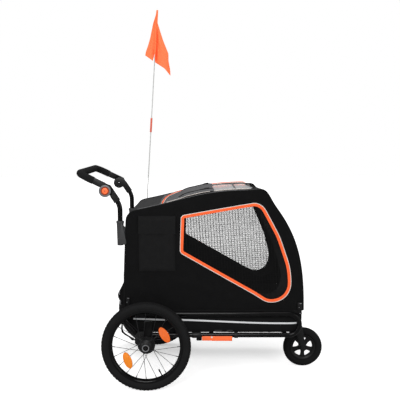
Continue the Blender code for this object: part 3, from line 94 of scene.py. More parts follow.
def solid(name, verts, faces, outward=True):
    """A mesh object from points and faces, with its faces turned outward."""
    mesh = bpy.data.meshes.new(name)
    mesh.from_pydata([tuple(v) for v in verts], [], faces)
    if outward:
        with reshaped(mesh) as shape:
            bmesh.ops.remove_doubles(shape, verts=shape.verts[:], dist=1e-6)
            bmesh.ops.recalc_face_normals(shape, faces=shape.faces[:])
    return linked(name, mesh)


def smoothed(obj, angle=40):
    obj.data.shade_smooth()
    obj.data.set_sharp_from_angle(angle=math.radians(angle))
    return obj


def applied(obj):
    """The object's evaluated shape as its own mesh, with its modifiers gone and its place in its points."""
    graph = bpy.context.evaluated_depsgraph_get()
    mesh = bpy.data.meshes.new_from_object(obj.evaluated_get(graph))
    mesh.transform(obj.matrix_world)
    name = obj.name
    mesh.name = name
    bpy.data.objects.remove(obj)
    return linked(name, mesh)


def thickened(obj, thickness, offset=0, angle=70):
    """The sheet given a wall, smooth up to an edge angle."""
    wall = obj.modifiers.new("wall", "SOLIDIFY")
    wall.thickness = thickness
    wall.offset = offset
    return smoothed(applied(obj), angle)


def bevelled(obj, width, segments, angle=30):
    """The object with the edges sharper than an angle rounded."""
    step = obj.modifiers.new("edges", "BEVEL")
    step.width = width
    step.segments = segments
    step.limit_method = "ANGLE"
    step.angle_limit = math.radians(angle)
    return applied(obj)


def joined(name, *objs):
    """Several objects' meshes as one object."""
    shape = bmesh.new()
    for obj in objs:
        shape.from_mesh(obj.data)
        bpy.data.objects.remove(obj)
    mesh = bpy.data.meshes.new(name)
    shape.to_mesh(mesh)
    shape.free()
    return linked(name, mesh)


def moved(obj, matrix):
    obj.data.transform(matrix)
    if matrix.determinant() < 0:
        obj.data.flip_normals()
    return obj


def rounded_box(name, low, high, bevel):
    low, high = Vector(low), Vector(high)
    mesh = bpy.data.meshes.new(name)
    with reshaped(mesh) as shape:
        bmesh.ops.create_cube(shape, size=1)
        fit = Matrix.LocRotScale((low + high) / 2, None, high - low)
        bmesh.ops.transform(shape, matrix=fit, verts=shape.verts[:])
        bmesh.ops.bevel(shape, geom=shape.edges[:], offset=bevel, segments=3, profile=0.5, affect="EDGES")
    return smoothed(linked(name, mesh))


def plate(name, outline, low, high, bevel):
    """A flat (x, z) outline drawn out along Y, with its edges rounded."""
    count = len(outline)
    verts = [(x, y, z) for y in (low, high) for x, z in outline]
    walls = [(k, (k + 1) % count, count + (k + 1) % count, count + k) for k in range(count)]
    ends = [tuple(range(count)), tuple(range(count, 2 * count))]
    return bevelled(solid(name, verts, walls + ends), bevel, 3)


def grid_sheet(name, rows, columns, place, thickness, angle=70):
    """A thickened sheet of four-sided faces, each point placed by a rule from its row and column."""
    verts = [place(k, i) for k in range(rows + 1) for i in range(columns + 1)]
    starts = [k * (columns + 1) + i for k in range(rows) for i in range(columns)]
    faces = [(a, a + 1, a + columns + 2, a + columns + 1) for a in starts]
    return thickened(solid(name, verts, faces, outward=False), thickness, angle=angle)


def lathed(name, profile, centre, steps=96, axis="Y"):
    """A ring or disc turned from a closed (radius, along) profile about an axis through the centre."""
    verts, faces = [], []
    count = len(profile)
    for i in range(steps):
        angle = 2 * math.pi * i / steps
        for radius, along in profile:
            a, b = radius * math.cos(angle), radius * math.sin(angle)
            spot = Vector((a, along, b)) if axis == "Y" else Vector((a, b, along))
            verts.append(Vector(centre) + spot)
        for k in range(count):
            m = (k + 1) % count
            j = (i + 1) % steps
            faces.append((i * count + k, i * count + m, j * count + m, j * count + k))
    return smoothed(solid(name, verts, faces))


def swept(name, line, section, closed=False, up=None):
    """A section of (across, up) points carried along a line and kept square to it."""
    points = [Vector(p) for p in line]
    count = len(points)
    headings = []
    for i in range(count):
        ahead = points[(i + 1) % count] if closed or i < count - 1 else points[i]
        back = points[i - 1] if closed or i else points[i]
        headings.append((ahead - back).normalized())
    if up is None:
        ups = [headings[0].orthogonal().normalized()]
        for before, heading in zip(headings, headings[1:]):
            ups.append(before.rotation_difference(heading) @ ups[-1])
    else:
        ups = up if isinstance(up, list) else [Vector(up)] * count
    verts = []
    for point, heading, top in zip(points, headings, ups):
        side = heading.cross(top).normalized()
        top = side.cross(heading)
        verts += [point + side * a + top * b for a, b in section]
    ring = len(section)
    faces = []
    for i in range(count if closed else count - 1):
        j = (i + 1) % count
        for k in range(ring):
            m = (k + 1) % ring
            faces.append((i * ring + k, i * ring + m, j * ring + m, j * ring + k))
    if not closed:
        faces.append(tuple(range(ring)))
        faces.append(tuple((count - 1) * ring + k for k in range(ring)))
    return smoothed(solid(name, verts, faces), 50)


def round_section(radius, sides=16):
    turns = [2 * math.pi * i / sides for i in range(sides)]
    return [(radius * math.cos(a), radius * math.sin(a)) for a in turns]


def tape_section(width, thickness):
    """A flat tape lying on a surface, with rounded edges and a slight crown."""
    half = width / 2
    edge = thickness * 0.5
    return [
        (-half, 0.0), (-half - edge * 0.4, edge), (-half + edge, thickness * 0.92), (-half * 0.4, thickness),
        (half * 0.4, thickness), (half - edge, thickness * 0.92), (half + edge * 0.4, edge), (half, 0.0),
    ]


def mirrored(half):
    """A half profile and its mirror image, as one closed profile."""
    return half + [(r, -w) for r, w in reversed(half)]


def turned(name, profile, place, sign, steps):
    """A small round part turned about Y, set at a place, its face on the side that the sign gives."""
    made = lathed(name, profile, (0, 0, 0), steps)
    return moved(made, Matrix.Translation(place) @ Matrix.Scale(sign, 4, (0, 1, 0)))


# Outlines


def filleted(corners, closed=True, step=math.radians(6)):
    """An outline from (x, z, bend radius) corners, each bend an arc."""
    outline = []
    count = len(corners)
    for i, (x, z, radius) in enumerate(corners):
        here = Vector((x, z))
        if not radius or (not closed and i in (0, count - 1)):
            outline.append(here)
            continue
        back = (Vector(corners[i - 1][:2]) - here).normalized()
        ahead = (Vector(corners[(i + 1) % count][:2]) - here).normalized()
        half = math.acos(max(-1.0, min(1.0, back.dot(ahead)))) / 2
        turn = math.pi - 2 * half
        centre = here + (back + ahead).normalized() * (radius / math.sin(half))
        start = here + back * (radius / math.tan(half)) - centre
        sense = 1 if back.x * ahead.y - back.y * ahead.x < 0 else -1
        steps = max(2, round(turn / step))
        outline += [centre + Matrix.Rotation(sense * turn * k / steps, 2) @ start for k in range(steps + 1)]
    return outline


def divided(points, spacing, closed=True):
    """The same outline with every run split into steps no longer than a spacing."""
    line = []
    count = len(points)
    for i in range(count if closed else count - 1):
        start, end = Vector(points[i]), Vector(points[(i + 1) % count])
        steps = max(1, math.ceil((end - start).length / spacing))
        line += [start.lerp(end, k / steps) for k in range(steps)]
    return line if closed else line + [Vector(points[-1])]


def softened(points, passes=2, closed=True):
    """Corners cut again and again, so that a polyline reads as a curve."""
    line = [Vector(p) for p in points]
    for _ in range(passes):
        count = len(line)
        cut = [] if closed else [line[0]]
        for i in range(count if closed else count - 1):
            start, end = line[i], line[(i + 1) % count]
            cut += [start.lerp(end, 0.25), start.lerp(end, 0.75)]
        line = cut if closed else cut + [line[-1]]
    return line


def rectangle(low_x, low_y, high_x, high_y):
    return [Vector(p) for p in ((low_x, low_y), (high_x, low_y), (high_x, high_y), (low_x, high_y))]


def inset(points, distance, closed=True):
    """The outline moved towards its inside, for an outline drawn either way round."""
    count = len(points)
    area = sum(points[i - 1].x * points[i].y - points[i].x * points[i - 1].y for i in range(count))
    sense = 1 if area > 0 else -1
    moved_points = []
    for i in range(count):
        here = points[i]
        back = points[i - 1] if closed or i else here
        ahead = points[(i + 1) % count] if closed or i < count - 1 else here
        run = (ahead - back).normalized()
        moved_points.append(here + Vector((-run.y, run.x)) * distance * sense)
    return moved_points


def face_rings(node, facing):
    """The outlines of a CAD node's flat faces that look one way, the longest first, as places."""
    shape = bmesh.new()
    shape.from_mesh(NODES[node].data)
    bmesh.ops.remove_doubles(shape, verts=shape.verts[:], dist=1e-5)
    facing = Vector(facing)
    chosen = [f for f in shape.faces if f.normal.dot(facing) > 0.99]
    facing_one_way = set(chosen)
    follow = {}
    for face in chosen:
        for loop in face.loops:
            others = [f for f in loop.edge.link_faces if f is not face and f in facing_one_way]
            if not others:
                follow[loop.vert.index] = loop.link_loop_next.vert.index
    places = {v.index: v.co.copy() for v in shape.verts}
    shape.free()
    rings = []
    while follow:
        start = min(follow)
        ring = [start]
        here = follow.pop(start)
        while here != start and here in follow:
            ring.append(here)
            here = follow.pop(here)
        rings.append([places[i] for i in ring])
    return sorted(rings, key=lambda ring: -sum((a - b).length for a, b in zip(ring, ring[1:])))


def within(point, ring):
    """Whether a flat point lies inside a ring."""
    hit = False
    count = len(ring)
    for i in range(count):
        a, b = ring[i - 1], ring[i]
        if (a[1] > point[1]) != (b[1] > point[1]):
            if point[0] < a[0] + (b[0] - a[0]) * (point[1] - a[1]) / (b[1] - a[1]):
                hit = not hit
    return hit


def cut_cloth(outline, holes, spacing):
    """Even triangles that fill an outline round its holes, as flat points and triangles."""
    rings = [divided(ring, spacing) for ring in (outline, *holes)]
    coords, edges = [], []
    for ring in rings:
        base = len(coords)
        coords += ring
        edges += [(base + i, base + (i + 1) % len(ring)) for i in range(len(ring))]
    edge_tree = kdtree.KDTree(len(coords))
    for i, place in enumerate(coords):
        edge_tree.insert((place[0], place[1], 0), i)
    edge_tree.balance()
    low_x, high_x = min(p[0] for p in rings[0]), max(p[0] for p in rings[0])
    low_z, high_z = min(p[1] for p in rings[0]), max(p[1] for p in rings[0])
    row_height = spacing * 0.87
    for row in range(int((high_z - low_z) / row_height) + 1):
        for column in range(int((high_x - low_x) / spacing) + 1):
            spot = Vector((low_x + (column + 0.5 * (row % 2)) * spacing, low_z + row * row_height))
            if edge_tree.find((spot.x, spot.y, 0))[2] < spacing * 0.6:
                continue
            if within(spot, rings[0]) and not any(within(spot, ring) for ring in rings[1:]):
                coords.append(spot)
    verts, _, faces, *_ = delaunay_2d_cdt(coords, edges, [], 0, 1e-7)
    kept = []
    for face in faces:
        middle = sum((verts[i] for i in face), Vector((0, 0))) / len(face)
        if within(middle, rings[0]) and not any(within(middle, ring) for ring in rings[1:]):
            kept.append(tuple(face))
    return verts, kept


def cloth(name, cut, place, thickness, inward):
    """A cut sheet laid out by a rule and thickened towards its inner side, which is a direction or a rule."""
    flat, triangles = cut
    used = sorted({i for face in triangles for i in face})
    renamed = {old: new for new, old in enumerate(used)}
    faces = [tuple(renamed[i] for i in face) for face in triangles]
    made = solid(name, [place(flat[i]) for i in used], faces, outward=False)
    with reshaped(made.data) as shape:
        bmesh.ops.recalc_face_normals(shape, faces=shape.faces[:])
        shape.normal_update()
        tilt = 0.0
        for face in shape.faces:
            inner = inward(face.calc_center_median()) if callable(inward) else Vector(inward)
            tilt += face.normal.dot(inner) * face.calc_area()
        if tilt > 0:
            bmesh.ops.reverse_faces(shape, faces=shape.faces[:])
    return thickened(made, thickness, -1, 60)


def ruffle(x, z, scale, seed):
    """A soft even wrinkle, from -1 to 1."""
    return noise.noise(Vector((x / scale, z / scale, seed)))


def fold(x, z, start, end, width):
    """How near a place is to a fold line, from 0 to 1, fading at the line's ends."""
    run = Vector(end) - Vector(start)
    rel = Vector((x, z)) - Vector(start)
    along = rel.dot(run) / run.length_squared
    away = abs(rel.x * run.y - rel.y * run.x) / run.length
    fade = max(0.0, 1 - (2 * along - 1) ** 2)
    return math.exp(-((away / width) ** 2)) * fade if 0 < along < 1 else 0.0


def clamped(value):
    return max(0.0, min(1.0, value))


def smooth_step(value):
    value = clamped(value)
    return value * value * (3 - 2 * value)


def crossing(line, level):
    """Where a line of (place, level) points first meets a level, or its last place."""
    for (x0, z0), (x1, z1) in zip(line, line[1:]):
        if min(z0, z1) <= level <= max(z0, z1) and z0 != z1:
            return x0 + (x1 - x0) * (level - z0) / (z1 - z0)
    return line[-1][0]


# Shader groups


def feed(tree, socket, value):
    if isinstance(value, bpy.types.NodeSocket):
        tree.links.new(value, socket)
    else:
        socket.default_value = value


def node(tree, kind, values=(), **settings):
    """A shader node with its settings, and with its inputs fed by name or number."""
    made = tree.nodes.new(kind)
    for key, value in settings.items():
        setattr(made, key, value)
    for key, value in dict(values).items():
        feed(tree, made.inputs[key], value)
    return made


def maths(tree, operation, *values, clamp=False):
    made = node(tree, "ShaderNodeMath", dict(enumerate(values)), operation=operation, use_clamp=clamp)
    return made.outputs[0]


def mottling(tree, place, scale, detail, roughness=0.5):
    """Noise over the object, as a value from 0 to 1."""
    given = {"Vector": place, "Scale": scale, "Detail": detail, "Roughness": roughness}
    return node(tree, "ShaderNodeTexNoise", given).outputs["Fac"]


def new_group(name, inputs, outputs):
    tree = bpy.data.node_groups.new(name, "ShaderNodeTree")
    for label, value in inputs.items():
        socket = tree.interface.new_socket(label, in_out="INPUT", socket_type="NodeSocketFloat")
        socket.default_value = value
    for label in outputs:
        tree.interface.new_socket(label, in_out="OUTPUT", socket_type="NodeSocketFloat")
    return tree, tree.nodes.new("NodeGroupInput").outputs, tree.nodes.new("NodeGroupOutput").inputs


def object_axes(tree):
    place = node(tree, "ShaderNodeTexCoord").outputs["Object"]
    split = node(tree, "ShaderNodeSeparateXYZ", {"Vector": place})
    return place, split.outputs


def build_weave():
    """Plain weave: over and under threads, with slow shade and slack that vary over the cloth."""
    tree, given, out = new_group("plain_weave", {"Thread": 0.0009, "Slack": 0.030}, ["Shade", "Height"])
    place, axes = object_axes(tree)
    turn = maths(tree, "DIVIDE", 2 * math.pi, given["Thread"])
    across = maths(tree, "MULTIPLY", maths(tree, "ADD", axes["X"], axes["Y"]), turn)
    along = maths(tree, "MULTIPLY", maths(tree, "ADD", axes["Z"], axes["Y"]), turn)
    crossing = maths(tree, "MULTIPLY", maths(tree, "SINE", across), maths(tree, "SINE", along))
    threads = maths(tree, "MULTIPLY_ADD", crossing, 0.5, 0.5)
    slack = mottling(tree, place, maths(tree, "DIVIDE", 1.0, given["Slack"]), 3.0, 0.55)
    streak = mottling(tree, place, 160.0, 2.0)
    shade = maths(tree, "MULTIPLY_ADD", threads, 0.35, maths(tree, "MULTIPLY", slack, 0.45))
    feed(tree, out["Shade"], maths(tree, "MULTIPLY_ADD", streak, 0.30, shade, clamp=True))
    slack = maths(tree, "MULTIPLY", slack, 0.9)
    feed(tree, out["Height"], maths(tree, "MULTIPLY_ADD", threads, 0.06, slack))
    return tree


def build_net():
    """Open net: the share of the surface that the crossing threads cover."""
    tree, given, out = new_group("net_threads", {"Across": 0.00226, "Up": 0.00164, "Thread": 0.00038,
                                                 "Cord across": 0.0126, "Cord up": 0.0088, "Cord": 0.0,
                                                 "Slant": 0.07}, ["Cover"])
    _, axes = object_axes(tree)
    leaning = maths(tree, "MULTIPLY_ADD", axes["Z"], given["Slant"], axes["X"])
    level = maths(tree, "MULTIPLY_ADD", axes["X"], maths(tree, "MULTIPLY", given["Slant"], -1.0), axes["Z"])
    half_cord = maths(tree, "MULTIPLY", given["Cord"], 0.5)
    cover = 0.0
    for axis, pitch, width in ((leaning, "Across", given["Thread"]), (level, "Up", given["Thread"]),
                               (leaning, "Cord across", given["Cord"]), (level, "Cord up", half_cord)):
        phase = maths(tree, "FRACT", maths(tree, "DIVIDE", axis, given[pitch]))
        line = maths(tree, "LESS_THAN", phase, maths(tree, "DIVIDE", width, given[pitch]))
        cover = maths(tree, "MAXIMUM", line, cover)
    feed(tree, out["Cover"], cover)
    return tree


def build_grain():
    """Moulded or painted surface: fine texture and slow marks."""
    tree, given, out = new_group("fine_grain", {"Grain": 0.0007, "Marks": 0.035},
                                 ["Shade", "Height", "Marks"])
    place, _ = object_axes(tree)
    fine = mottling(tree, place, maths(tree, "DIVIDE", 1.0, given["Grain"]), 2.0)
    slow = mottling(tree, place, maths(tree, "DIVIDE", 1.0, given["Marks"]), 5.0, 0.65)
    feed(tree, out["Height"], fine)
    feed(tree, out["Marks"], slow)
    feed(tree, out["Shade"], maths(tree, "MULTIPLY_ADD", fine, 0.3, maths(tree, "MULTIPLY", slow, 0.7)))
    return tree


def build_ribs():
    """Ribbed tape or webbing: fine ribs across its length."""
    tree, given, out = new_group("tape_ribs", {"Rib": 0.0012}, ["Shade", "Height"])
    place, axes = object_axes(tree)
    turn = maths(tree, "DIVIDE", 2 * math.pi, given["Rib"])
    run = maths(tree, "ADD", maths(tree, "ADD", axes["X"], axes["Y"]), axes["Z"])
    ribs = maths(tree, "MULTIPLY_ADD", maths(tree, "SINE", maths(tree, "MULTIPLY", run, turn)), 0.5, 0.5)
    feed(tree, out["Height"], ribs)
    slow = maths(tree, "MULTIPLY", mottling(tree, place, 40.0, 3.0), 0.55)
    feed(tree, out["Shade"], maths(tree, "MULTIPLY_ADD", ribs, 0.45, slow))
    return tree


WEAVE = build_weave()
NET = build_net()
GRAIN = build_grain()
RIBS = build_ribs()


# Materials

# The slot of each look, by the name of its material
SLOT_OF = {}


def surface(name, slot, colour, roughness, metallic=0.0, specular=0.5, coat=0.0):
    """A Principled material with its even values on the shader's own sockets."""
    made = bpy.data.materials.new(name)
    made.use_nodes = True
    shader = made.node_tree.nodes["Principled BSDF"]
    for key, value in (("Base Color", (*colour, 1)), ("Roughness", roughness), ("Metallic", metallic),
                       ("Specular IOR Level", specular), ("Coat Weight", coat)):
        shader.inputs[key].default_value = value
    made.diffuse_color = (*colour, 1)
    SLOT_OF[made.name] = slot
    return made, made.node_tree, shader


def blend_into(tree, shader, share, dark, bright):
    """Feeds the base colour with a blend of two colours."""
    blend = node(tree, "ShaderNodeMix", data_type="RGBA")
    blend.inputs[6].default_value = (*dark, 1)
    blend.inputs[7].default_value = (*bright, 1)
    tree.links.new(share, blend.inputs[0])
    tree.links.new(blend.outputs[2], shader.inputs["Base Color"])


def raise_into(tree, shader, height, strength, depth):
    """Feeds the normal with a bump."""
    raised = node(tree, "ShaderNodeBump", {"Strength": strength, "Distance": depth, "Height": height})
    tree.links.new(raised.outputs["Normal"], shader.inputs["Normal"])


def grey(level):
    return (level, level, level * 1.04)


def colour_of(value):
    """A colour as it is given, or a grey from its level."""
    return value if isinstance(value, tuple) else grey(value)


def maker(group, size_label):
    """Makes looks in one pattern: slot, even values, pattern size, two shades, roughness range and bump."""
    def make(slot, name, even, roughness, specular, size, shades, rough, bump, depth, metallic=0.0,
             marks=None):
        material, tree, shader = surface(name, slot, colour_of(even), roughness, metallic, specular)
        pattern = node(tree, "ShaderNodeGroup", node_tree=group)
        pattern.inputs[size_label].default_value = size
        if marks:
            pattern.inputs["Marks"].default_value = marks
        blend_into(tree, shader, pattern.outputs["Shade"], *(colour_of(s) for s in shades))
        spread = node(tree, "ShaderNodeMapRange", {"Value": pattern.outputs["Shade"], "To Min": rough[0],
                                                   "To Max": rough[1]})
        tree.links.new(spread.outputs[0], shader.inputs["Roughness"])
        raise_into(tree, shader, pattern.outputs["Height"], bump, depth)
        return material
    return make


woven, ribbed, grained = maker(WEAVE, "Thread"), maker(RIBS, "Rib"), maker(GRAIN, "Grain")

CLOTH = woven("fabric_black", "cloth_black", 0.004, 0.85, 0.06, 0.0009,
              (0.0022, 0.0062), (0.92, 0.72), 0.35, 0.0009)
CLOTH_POCKET = woven("fabric_black", "cloth_pocket", 0.0060, 0.85, 0.10, 0.0009,
                     (0.0036, 0.0086), (0.92, 0.72), 0.35, 0.0009)
# Painted sheen: the roof is the same black cloth as the sides, made dark grey to stand in for the sheen it
# shows under the light.
CLOTH_ROOF_SHEEN = woven("fabric_black", "cloth_roof", 0.024, 0.8, 0.2, 0.0009,
                   (0.015, 0.034), (0.85, 0.65), 0.35, 0.0009)
CLOTH_TRAY = woven("fabric_black", "cloth_tray", 0.005, 0.8, 0.08, 0.0012,
                   (0.0024, 0.0075), (0.85, 0.62), 0.4, 0.0012)
CLOTH_GREY = woven("cover_grey", "cloth_grey", 0.09, 0.9, 0.2, 0.0009,
                   (0.055, 0.120), (0.95, 0.8), 0.4, 0.001)
FLAG_CLOTH = woven("flag_orange", "flag_nylon", (0.95, 0.16, 0.04), 0.7, 0.3, 0.0006,
                   ((0.90, 0.125, 0.035), (1.0, 0.20, 0.07)), (0.75, 0.6), 0.15, 0.0005)
BINDING = ribbed("fabric_black", "binding_black", 0.006, 0.8, 0.12, 0.0011,
                 (0.0035, 0.009), (0.9, 0.7), 0.4, 0.0003)
TAPE_ORANGE = ribbed("plastic_orange", "tape_orange", (0.84, 0.125, 0.024), 0.7, 0.3, 0.0011,
                     ((0.74, 0.084, 0.015), (0.92, 0.132, 0.028)), (0.8, 0.6), 0.4, 0.0003)
TAPE_LIGHT = ribbed("silver", "tape_light", (0.62, 0.60, 0.58), 0.7, 0.3, 0.0011,
                    ((0.50, 0.46, 0.43), (0.72, 0.66, 0.61)), (0.8, 0.6), 0.3, 0.0003)
REFLECTIVE = ribbed("silver", "reflective_silver", (0.72, 0.73, 0.74), 0.4, 0.6, 0.0008,
                    ((0.50, 0.51, 0.52), (0.66, 0.67, 0.68)), (0.5, 0.35), 0.2, 0.0002)
PAINT = grained("frame_black", "paint_black", 0.003, 0.2, 0.15, 0.0006,
                (0.0022, 0.0045), (0.12, 0.20), 0.05, 0.0001)
RUBBER = grained("tyre_black", "tyre_rubber", 0.006, 0.75, 0.10, 0.0009,
                 (0.0045, 0.0115), (0.62, 0.85), 0.35, 0.0004, marks=0.05)
FOAM = grained("rubber_black", "foam_black", 0.008, 0.95, 0.1, 0.0011,
               (0.005, 0.013), (0.9, 1.0), 0.6, 0.0006)
PLASTIC = grained("plastic_black", "plastic_black", 0.007, 0.5, 0.25, 0.0005,
                  (0.005, 0.010), (0.34, 0.5), 0.15, 0.0002)
PLASTIC_GREY = grained("plastic_grey", "plastic_grey", 0.030, 0.45, 0.4, 0.0005,
                       (0.024, 0.038), (0.38, 0.52), 0.2, 0.0002)
PLASTIC_ORANGE = grained("plastic_orange", "plastic_orange", (0.86, 0.14, 0.03), 0.4, 0.5, 0.0005,
                         ((0.82, 0.115, 0.022), (0.94, 0.165, 0.04)), (0.32, 0.48), 0.15, 0.0002)
PLASTIC_LIGHT = grained("plastic_grey", "plastic_light", 0.12, 0.4, 0.4, 0.0005,
                        (0.09, 0.15), (0.35, 0.5), 0.2, 0.0002)
# Painted shadow and reflection: a dark red-brown for the ring round each tilt button, standing in for the shade
# in the gap round the orange button and the orange it reflects there.
PAINTED_GAP_SHADOW = grained("plastic_black", "plastic_rust", (0.20, 0.035, 0.012), 0.5, 0.2, 0.0005,
                       ((0.14, 0.024, 0.010), (0.26, 0.045, 0.016)), (0.4, 0.6), 0.1, 0.0002)
FERRULE_RED = grained("flag_orange", "ferrule_red", (0.66, 0.12, 0.07), 0.5, 0.3, 0.0006,
                      ((0.58, 0.10, 0.06), (0.74, 0.14, 0.085)), (0.4, 0.6), 0.1, 0.0002)
BOARD = grained("board_black", "board_black", 0.02, 0.7, 0.5, 0.0008,
                (0.010, 0.020), (0.6, 0.8), 0.3, 0.0003)
STEEL = grained("silver", "steel_bright", 0.62, 0.3, 0.5, 0.0005,
                (0.50, 0.72), (0.24, 0.38), 0.05, 0.0001, metallic=1.0, marks=0.02)
STEEL_DARK = grained("frame_black", "steel_black", 0.03, 0.3, 0.5, 0.0005,
                     (0.020, 0.040), (0.28, 0.42), 0.05, 0.0001, metallic=0.8)
# Painted shade: the white pole gets a mid grey, well below its own white, so that it reads grey against the
# white floor.
POLE_SHADED = grained("pole_white", "pole_white", 0.5, 0.4, 0.2, 0.0008,
                     ((0.42, 0.42, 0.41), (0.56, 0.56, 0.55)), (0.35, 0.5), 0.05, 0.0001)


def build_net_material(name, cord_width):
    material, tree, shader = surface(name, "mesh_black", grey(0.006), 0.7, specular=0.1)
    pattern = node(tree, "ShaderNodeGroup", node_tree=NET)
    pattern.inputs["Cord"].default_value = cord_width
    tree.links.new(pattern.outputs["Cover"], shader.inputs["Alpha"])
    return material


def build_vinyl():
    # Painted reflection: the clear vinyl gets a near-white, almost opaque colour on top of its strong gloss,
    # standing in for the bright studio that it reflects.
    material, tree, shader = surface("vinyl_clear", "vinyl_clear", (0.97, 0.97, 0.98), 0.08, specular=1.0,
                                     coat=0.6)
    shader.inputs["Alpha"].default_value = 0.96
    pattern = node(tree, "ShaderNodeGroup", node_tree=GRAIN)
    pattern.inputs["Marks"].default_value = 0.06
    raise_into(tree, shader, pattern.outputs["Marks"], 0.25, 0.004)
    return material


def build_amber(name, dark, bright):
    """Moulded reflector: a grid of small prisms under a clear amber face."""
    material, tree, shader = surface(name, "plastic_orange", bright, 0.26, specular=0.3)
    shader.inputs["Transmission Weight"].default_value = 0.15
    _, axes = object_axes(tree)
    waves = [maths(tree, "SINE", maths(tree, "MULTIPLY", axes[axis], 2600.0)) for axis in "XZ"]
    prisms = maths(tree, "MULTIPLY", *waves)
    blend_into(tree, shader, maths(tree, "MULTIPLY_ADD", prisms, 0.5, 0.5), dark, bright)
    raise_into(tree, shader, prisms, 0.5, 0.0005)
    return material


NET_FINE = build_net_material("net_fine", 0.0)
NET_CORDED = build_net_material("net_corded", 0.0019)
VINYL = build_vinyl()
AMBER = build_amber("reflector_amber", (0.80, 0.15, 0.008), (1.0, 0.36, 0.020))
# Painted shade: a darker, redder copy of the one amber, for the upper reflectors, which are seen against the
# dark and catch less light.
AMBER_PAINTED_SHADE = build_amber("reflector_red_amber", (0.74, 0.085, 0.008), (0.94, 0.20, 0.018))

SLOT_LOOKS = {
    "frame_black": PAINT, "fabric_black": CLOTH, "board_black": BOARD, "tyre_black": RUBBER,
    "rubber_black": FOAM, "plastic_black": PLASTIC, "plastic_grey": PLASTIC_GREY,
    "plastic_orange": PLASTIC_ORANGE, "silver": STEEL, "mesh_black": NET_FINE, "vinyl_clear": VINYL,
    "cover_grey": CLOTH_GREY, "pole_white": POLE_SHADED, "flag_orange": FLAG_CLOTH,
}
for entry in frame["record"]["subparts"]:
    NODES[entry["node"]].data.materials.clear()
    NODES[entry["node"]].data.materials.append(SLOT_LOOKS[entry["material_slot"]])


def dress(piece, look, *replaced, body="frame", slot=None):
    """Gives a finished piece its material, hangs it on its body and hides the solids that it stands for."""
    piece.data.materials.clear()
    piece.data.materials.append(look)
    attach(piece, body)
    if replaced:
        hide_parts(*replaced)
    slot or SLOT_OF[look.name]
    return piece


def cord(name, line, radius, sides, look, closed=False, up=None, body="frame", slot=None):
    """A finished round cord, tube or pin along a line."""
    return dress(swept(name, line, round_section(radius, sides), closed, up), look, body=body, slot=slot)


def tape(name, line, width, thickness, look, up, closed=False, body="frame", slot=None):
    """A finished flat tape along a line on a surface."""
    return dress(swept(name, line, tape_section(width, thickness), closed, up), look, body=body, slot=slot)


def at(x, y, z):
    """A place given from the rear axle."""
    return Vector((x + AXLE_X, y, z))


def polar(radius, angle, y=0.0):
    """A place round the Y axis."""
    return Vector((radius * math.cos(angle), y, radius * math.sin(angle)))


def eased(name, look, width, slot=None):
    """A finished copy of a hard CAD solid: edges rounded as moulded or painted ones are, faces smooth."""
    mesh = NODES[name].data.copy()
    mesh.transform(NODES[name].matrix_world)
    made = linked(f"{name}_finish", mesh)
    with reshaped(mesh) as shape:
        bmesh.ops.remove_doubles(shape, verts=shape.verts[:], dist=1e-5)
        bmesh.ops.dissolve_limit(shape, angle_limit=math.radians(0.6), verts=shape.verts[:],
                                 edges=shape.edges[:])
    made = bevelled(made, width, 2, 28) if width else applied(made)
    return dress(smoothed(made, 34), look, name, body=BODY_OF[name], slot=slot)


# Geometry Nodes


def ring_tree():
    """Copies of one object set round a circle about the Y axis and turned with it."""
    tree = bpy.data.node_groups.new("ring_of_copies", "GeometryNodeTree")
    sockets = {}
    for label, kind in (("Copy", "Object"), ("Count", "Int"), ("Phase", "Float"), ("Centre", "Vector"),
                        ("Look", "Material")):
        made = tree.interface.new_socket(label, in_out="INPUT", socket_type=f"NodeSocket{kind}")
        sockets[label] = made.identifier
    tree.interface.new_socket("Geometry", in_out="OUTPUT", socket_type="NodeSocketGeometry")
    given = tree.nodes.new("NodeGroupInput").outputs
    line = node(tree, "GeometryNodePoints", {"Count": given["Count"]})
    index = tree.nodes.new("GeometryNodeInputIndex").outputs[0]
    share = maths(tree, "DIVIDE", index, given["Count"])
    angle = maths(tree, "MULTIPLY_ADD", share, -2 * math.pi, given["Phase"])
    turn = node(tree, "ShaderNodeCombineXYZ", {"Y": angle})
    copy = node(tree, "GeometryNodeObjectInfo", {"Object": given["Copy"]})
    placed = node(tree, "GeometryNodeInstanceOnPoints", {
        "Points": line.outputs[0], "Instance": copy.outputs["Geometry"], "Rotation": turn.outputs[0]})
    shifted = node(tree, "GeometryNodeTransform", {
        "Geometry": placed.outputs[0], "Translation": given["Centre"]})
    real = node(tree, "GeometryNodeRealizeInstances", {"Geometry": shifted.outputs[0]})
    painted = node(tree, "GeometryNodeSetMaterial", {"Geometry": real.outputs[0], "Material": given["Look"]})
    tree.links.new(painted.outputs[0], tree.nodes.new("NodeGroupOutput").inputs[0])
    return tree, sockets


RING_TREE, RING_SOCKETS = ring_tree()


def ringed(name, copy, count, centre, look, phase=0.0):
    """Copies of a piece drawn round the origin, set round a centre as one mesh. The piece is removed."""
    carrier = solid(name, [], [], outward=False)
    step = carrier.modifiers.new("copies", "NODES")
    step.node_group = RING_TREE
    for label, value in (("Copy", copy), ("Count", count), ("Phase", phase), ("Centre", tuple(centre)),
                         ("Look", look)):
        step[RING_SOCKETS[label]] = value
    made = applied(carrier)
    bpy.data.objects.remove(copy)
    return smoothed(made)


# Wheels

SPOKES = 20
SPOKE_FAMILY = 4
TREAD_BLOCKS = 72
TREAD_DEPTH = 0.0040
# The rows of tread blocks: across, radius, length, width and lean in degrees
TREAD_ROWS = (
    (0.0, 0.1956, 0.0085, 0.0085, 0),
    (0.0095, 0.1944, 0.0075, 0.0060, -14), (-0.0095, 0.1944, 0.0075, 0.0060, 14),
    (0.0168, 0.1898, 0.0080, 0.0050, -62), (-0.0168, 0.1898, 0.0080, 0.0050, 62),
)
DISC_HOLE_RADIUS = 0.0323
DISC_HOLES = 8


